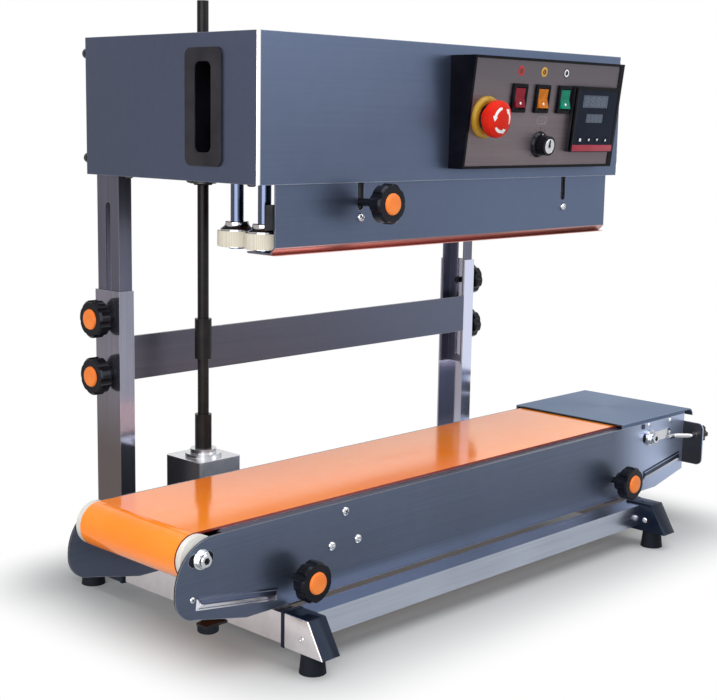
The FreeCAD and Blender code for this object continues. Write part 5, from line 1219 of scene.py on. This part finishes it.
def addBumps(values):
    radius, height = values["radius"], values["height"]
    profile = [(radius, -0.5), (radius, height * 0.45), (radius * 0.85, height * 0.78),
               (radius * 0.5, height * 0.95), (0, height)]
    places = [(x, values["y"], rise) for x in values["x"] for rise in values["rise"]]
    for number, place in enumerate(places, 1):
        addPiece(f"back_bump_{number}", lathe(profile, 32), "darkSteel", "head", frameAt(place, (0, 1, 0)))


addBumps(bumpValues)


# Polished lip under the guard and its slope at the front edge, coloured salmon as a painted reflection of the
# orange belt
lipValues = {"x": (-267.5, 274.5), "y": (-84.6, -44.6), "z": 380, "gauge": 0.5, "corner": 1.2, "bevel": 0.15,
             "slope middle": (3.5, -81, 383.5), "slope size": (543, 9.7), "slope gauge": 0.45}


def addLip(values):
    (left, right), (front, back), gauge = values["x"], values["y"], values["gauge"]
    outline = roundedOutline(right - left, back - front, values["corner"],
                             ((left + right) / 2, (front + back) / 2))
    addPiece("guard_lip", slab(outline, 0, gauge, values["bevel"]), "lipPaintedReflection", "head",
             frameAt((0, 0, values["z"] - gauge), (0, 0, 1)))
    slope = slab(roundedOutline(*values["slope size"], 0.5), 0.02, values["slope gauge"], values["bevel"])
    addPiece("guard_slope", slope, "lipPaintedReflection", "head",
             frameAt(values["slope middle"], (0, -1, -1), (0, -1, 1)))


addLip(lipValues)


# Painted highlight: near white strips on the bright bends at the head's front corners
bendHighlightValues = {"corner": (293.5, -88.5), "radius": 4, "proud": 0.35, "sweep": (199, 251), "steps": 12,
              "z": (447.3, 587.7)}


def addBendHighlights(values):
    x, y = values["corner"]
    radius, proud = values["radius"], values["proud"]
    (start, stop), steps = values["sweep"], values["steps"]
    turns = [math.radians(start + (stop - start) * step / steps) for step in range(steps + 1)]
    for side, way in (("left", 1), ("right", -1)):
        middle = (-way * (x - radius), y + radius)
        rows = [[(middle[0] + way * reach * math.cos(turn), middle[1] + reach * math.sin(turn))
                 for turn in turns] for reach in (radius - 0.1, radius + proud)]
        outline = rows[1] + rows[0][::-1]
        addPiece(side + "_head_bend_highlight", slab(outline[::way], *values["z"]), "bendPaintedHighlight", "head",
                 frameAt((0, 0, 0), (0, 0, 1)), 60)


addBendHighlights(bendHighlightValues)


# Liners of the side handles: walls, rim and floor of each pocket; walls and floor near black as painted shade
# deep in the pocket
linerValues = {"face": 295.5, "y": -11, "z": 518, "slot": (25, 87), "corner": 6.5, "deep": 26}


def addLiners(values):
    (wide, tall), deep = values["slot"], values["deep"]
    outer = roundedOutline(wide - 0.1, tall - 0.1, 0.3)
    inner = roundedOutline(wide - 1.2, tall - 1.2, values["corner"])
    for side, way in (("left", -1), ("right", 1)):
        place = frameAt((way * values["face"], values["y"], values["z"]), (way, 0, 0))
        addPiece(side + "_cup_liner", rimSlab(outer, inner, -deep, -0.9), "recessPaintedShade", "head", place)
        addPiece(side + "_cup_rim", rimSlab(outer, inner, -0.85, -0.03, 0.25), "blackPlastic", "head", place)
        addPiece(side + "_cup_floor", slab(outer, -deep - 0.6, -deep), "recessPaintedShade", "head", place)


addLiners(linerValues)


# Nuts and bright columns of the belt wheels' shafts
wheelNutValues = {"reach": 258, "rows": {"front": -58.5, "rear": -18.5}, "foot": 400, "column": 6.5,
                  "wall": 0.9, "column rise": (8.5, 46.8),
                  "profile": [(6.5, 0.1), (16.4, 0.1), (16.4, 0.9), (15.8, 1.7), (13.6, 3.0), (12.0, 5.2),
                              (11.6, 7.8), (10.8, 8.6), (6.5, 8.7), (6.5, 0.1)]}


def addWheelNuts(values):
    outer, (foot, top) = values["column"], values["column rise"]
    inner = outer - values["wall"]
    tube = [(inner, foot), (outer, foot), (outer, top), (inner, top), (inner, foot)]
    for side, way in (("left", -1), ("right", 1)):
        for row, depth in values["rows"].items():
            place = frameAt((way * values["reach"], depth, values["foot"]), (0, 0, 1))
            addPiece(f"{side}_{row}_wheel_nut", lathe(values["profile"], 48), "chromePlate", "head", place)
            addPiece(f"{side}_{row}_column", lathe(tube, 40), "columnChrome", "head", place)


addWheelNuts(wheelNutValues)


# Dark strip under the end cover's left edge, painted shade in the gap between cover and belt
coverGapShadeValues = {"x": (261.8, 265.2), "y": (-122.3, 19.8), "z": (143.7, 145.2), "bevel": 0.3}
addPiece("cover_gap_shade", upright(coverGapShadeValues["x"], coverGapShadeValues["y"], *coverGapShadeValues["z"], coverGapShadeValues["bevel"]),
         "rubberBlack", "base", frameAt((0, 0, 0), (0, 0, 1)))
print("base, conveyor and head details ready")


# Floor with a painted shadow halo, backdrop, world and lamps
studioValues = {
    "floor size": 16.0,
    "floor colour": (0.425, 0.435, 0.435),
    "floor lift": 0.05,
    # painted shadow halo: grey floor in a box round the machine, white beyond it, for camera and glossy rays
    "seen shadow halo": {"half": (0.32, 0.15, 0), "middle": (0.04, 0.02, 0), "fade": (0.03, 0.16)},
    "mirrored shadow halo": {"half": (0.30, 0.18, 0), "middle": (0.08, -0.07, 0), "fade": (0.03, 0.31)},
    "world shade": (0.62, 0.64, 0.68),
    "world strength": 0.60,
    "dim side": (-0.68, 0.72, 0.12),
    "dim shade": (0.68, 0.62, 0.59),
    "floor dim range": (0.15, 0.60),
    "dim range": (0.25, 0.85),
}


# Painted shadow halo: the floor stays grey near the machine and turns white beyond the box
def shadowHaloFade(tree, place, values):  # 0 near the machine, 1 where the floor has turned white
    folded = vectorNode(tree, "ABSOLUTE", vectorNode(tree, "SUBTRACT", place, values["middle"]))
    outside = vectorNode(tree, "MAXIMUM", vectorNode(tree, "SUBTRACT", folded, values["half"]), (0, 0, 0))
    return rangeNode(tree, vectorNode(tree, "LENGTH", outside), *values["fade"], kind="SMOOTHSTEP")


def dimShare(tree, place, values, key):  # 1 where what metal mirrors is a little darker
    side = vectorNode(tree, "DOT_PRODUCT", place, Vector(values["dim side"]).normalized())
    return rangeNode(tree, side, *values[key], kind="SMOOTHSTEP")


def makeFloorFinish(values):
    finish, tree, shader = newFinish("paleFloor")
    place = addNode(tree, "TexCoord")
    cloud = addNode(tree, "TexNoise", {"Scale": 3.0, "Detail": 2.0})
    tree.links.new(place.outputs["Object"], cloud.inputs["Vector"])
    base = Vector(values["floor colour"])
    tree.links.new(mixColour(tree, cloud.outputs[0], base * 0.99, base * 1.01), shader.inputs["Base Color"])
    shader.inputs["Roughness"].default_value = 0.7
    shader.inputs["Specular IOR Level"].default_value = 0.2
    ray = addNode(tree, "LightPath")
    seen = mathNode(tree, "MAXIMUM", ray.outputs["Is Camera Ray"], ray.outputs["Is Glossy Ray"])
    lift = addNode(tree, "Emission", {"Color": (1, 1, 1, 1)})
    tree.links.new(mathNode(tree, "MULTIPLY", seen, values["floor lift"]), lift.inputs["Strength"])
    near = addNode(tree, "AddShader")
    tree.links.new(shader.outputs[0], near.inputs[0])
    tree.links.new(lift.outputs[0], near.inputs[1])
    looked = mathNode(tree, "MULTIPLY", ray.outputs["Is Camera Ray"],
                      shadowHaloFade(tree, place.outputs["Object"], values["seen shadow halo"]))
    mirrored = mathNode(tree, "MULTIPLY", ray.outputs["Is Glossy Ray"],
                        shadowHaloFade(tree, place.outputs["Object"], values["mirrored shadow halo"]))
    dim = dimShare(tree, place.outputs["Object"], values, "floor dim range")
    dimmed = mathNode(tree, "MULTIPLY", dim, ray.outputs["Is Glossy Ray"])
    white = addNode(tree, "Emission", {"Strength": 1.0})
    tree.links.new(mixColour(tree, dimmed, (1, 1, 1), values["dim shade"]), white.inputs["Color"])
    blend = addNode(tree, "MixShader")
    tree.links.new(mathNode(tree, "MAXIMUM", looked, mirrored), blend.inputs[0])
    tree.links.new(near.outputs[0], blend.inputs[1])
    tree.links.new(white.outputs[0], blend.inputs[2])
    tree.links.new(blend.outputs[0], tree.nodes["Material Output"].inputs["Surface"])
    return finish


def addFloor(values):
    mesh = bpy.data.meshes.new("studioFloor")
    half = values["floor size"] / 2
    mesh.from_pydata([(-half, -half, 0), (half, -half, 0), (half, half, 0), (-half, half, 0)], [],
                     [(0, 1, 2, 3)])
    mesh.materials.append(makeFloorFinish(values))
    floor = bpy.data.objects.new("studioFloor", mesh)
    bpy.context.scene.collection.objects.link(floor)


def setWorld(values):
    world = bpy.data.worlds.new("studioWorld")
    bpy.context.scene.world = world
    world.use_nodes = True
    tree = world.node_tree
    background = tree.nodes["Background"]
    ray = addNode(tree, "LightPath")
    clear = mathNode(tree, "MAXIMUM", ray.outputs["Is Camera Ray"], ray.outputs["Is Transmission Ray"])
    dim = dimShare(tree, addNode(tree, "TexCoord").outputs["Generated"], values, "dim range")
    mirrored = mixColour(tree, dim, (1, 1, 1), values["dim shade"])
    glossy = mixColour(tree, ray.outputs["Is Glossy Ray"], values["world shade"], mirrored)
    tree.links.new(mixColour(tree, clear, glossy, (1, 1, 1)), background.inputs["Color"])
    white = mathNode(tree, "MAXIMUM", clear, ray.outputs["Is Glossy Ray"])
    tree.links.new(rangeNode(tree, white, 0.0, 1.0, values["world strength"], 1.0),
                   background.inputs["Strength"])


# Each lamp: place, point it looks at, size, power in watts, colour
lampValues = {
    "overheadLamp": {"place": (0.1, -0.8, 2.4), "aim": (0, -0.05, 0.2), "size": 1.8, "power": 35,
                     "colour": (1, 1, 1)},
    "frontLamp": {"place": (1.3, -2.3, 1.3), "aim": (0.1, 0, 0.3), "size": 1.4, "power": 13,
                  "colour": (0.94, 0.97, 1.0)},
    "cameraSideLamp": {"place": (-2.25, -1.05, 0.95), "aim": (-0.1, -0.05, 0.2), "size": 2.4, "power": 60,
                       "colour": (1.0, 0.98, 0.96)},
}


def addLamp(name, values):
    light = bpy.data.lights.new(name, "AREA")
    light.size = values["size"]
    light.energy = values["power"]
    light.color = values["colour"]
    lamp = bpy.data.objects.new(name, light)
    place = Vector(values["place"])
    lamp.matrix_world = Matrix.Translation(place) @ (
        (Vector(values["aim"]) - place).to_track_quat("-Z", "Y").to_matrix().to_4x4())
    bpy.context.scene.collection.objects.link(lamp)


addFloor(studioValues)
setWorld(studioValues)
for lampName, values in lampValues.items():
    addLamp(lampName, values)
bpy.context.scene.view_settings.view_transform = "Standard"
print("studio ready")
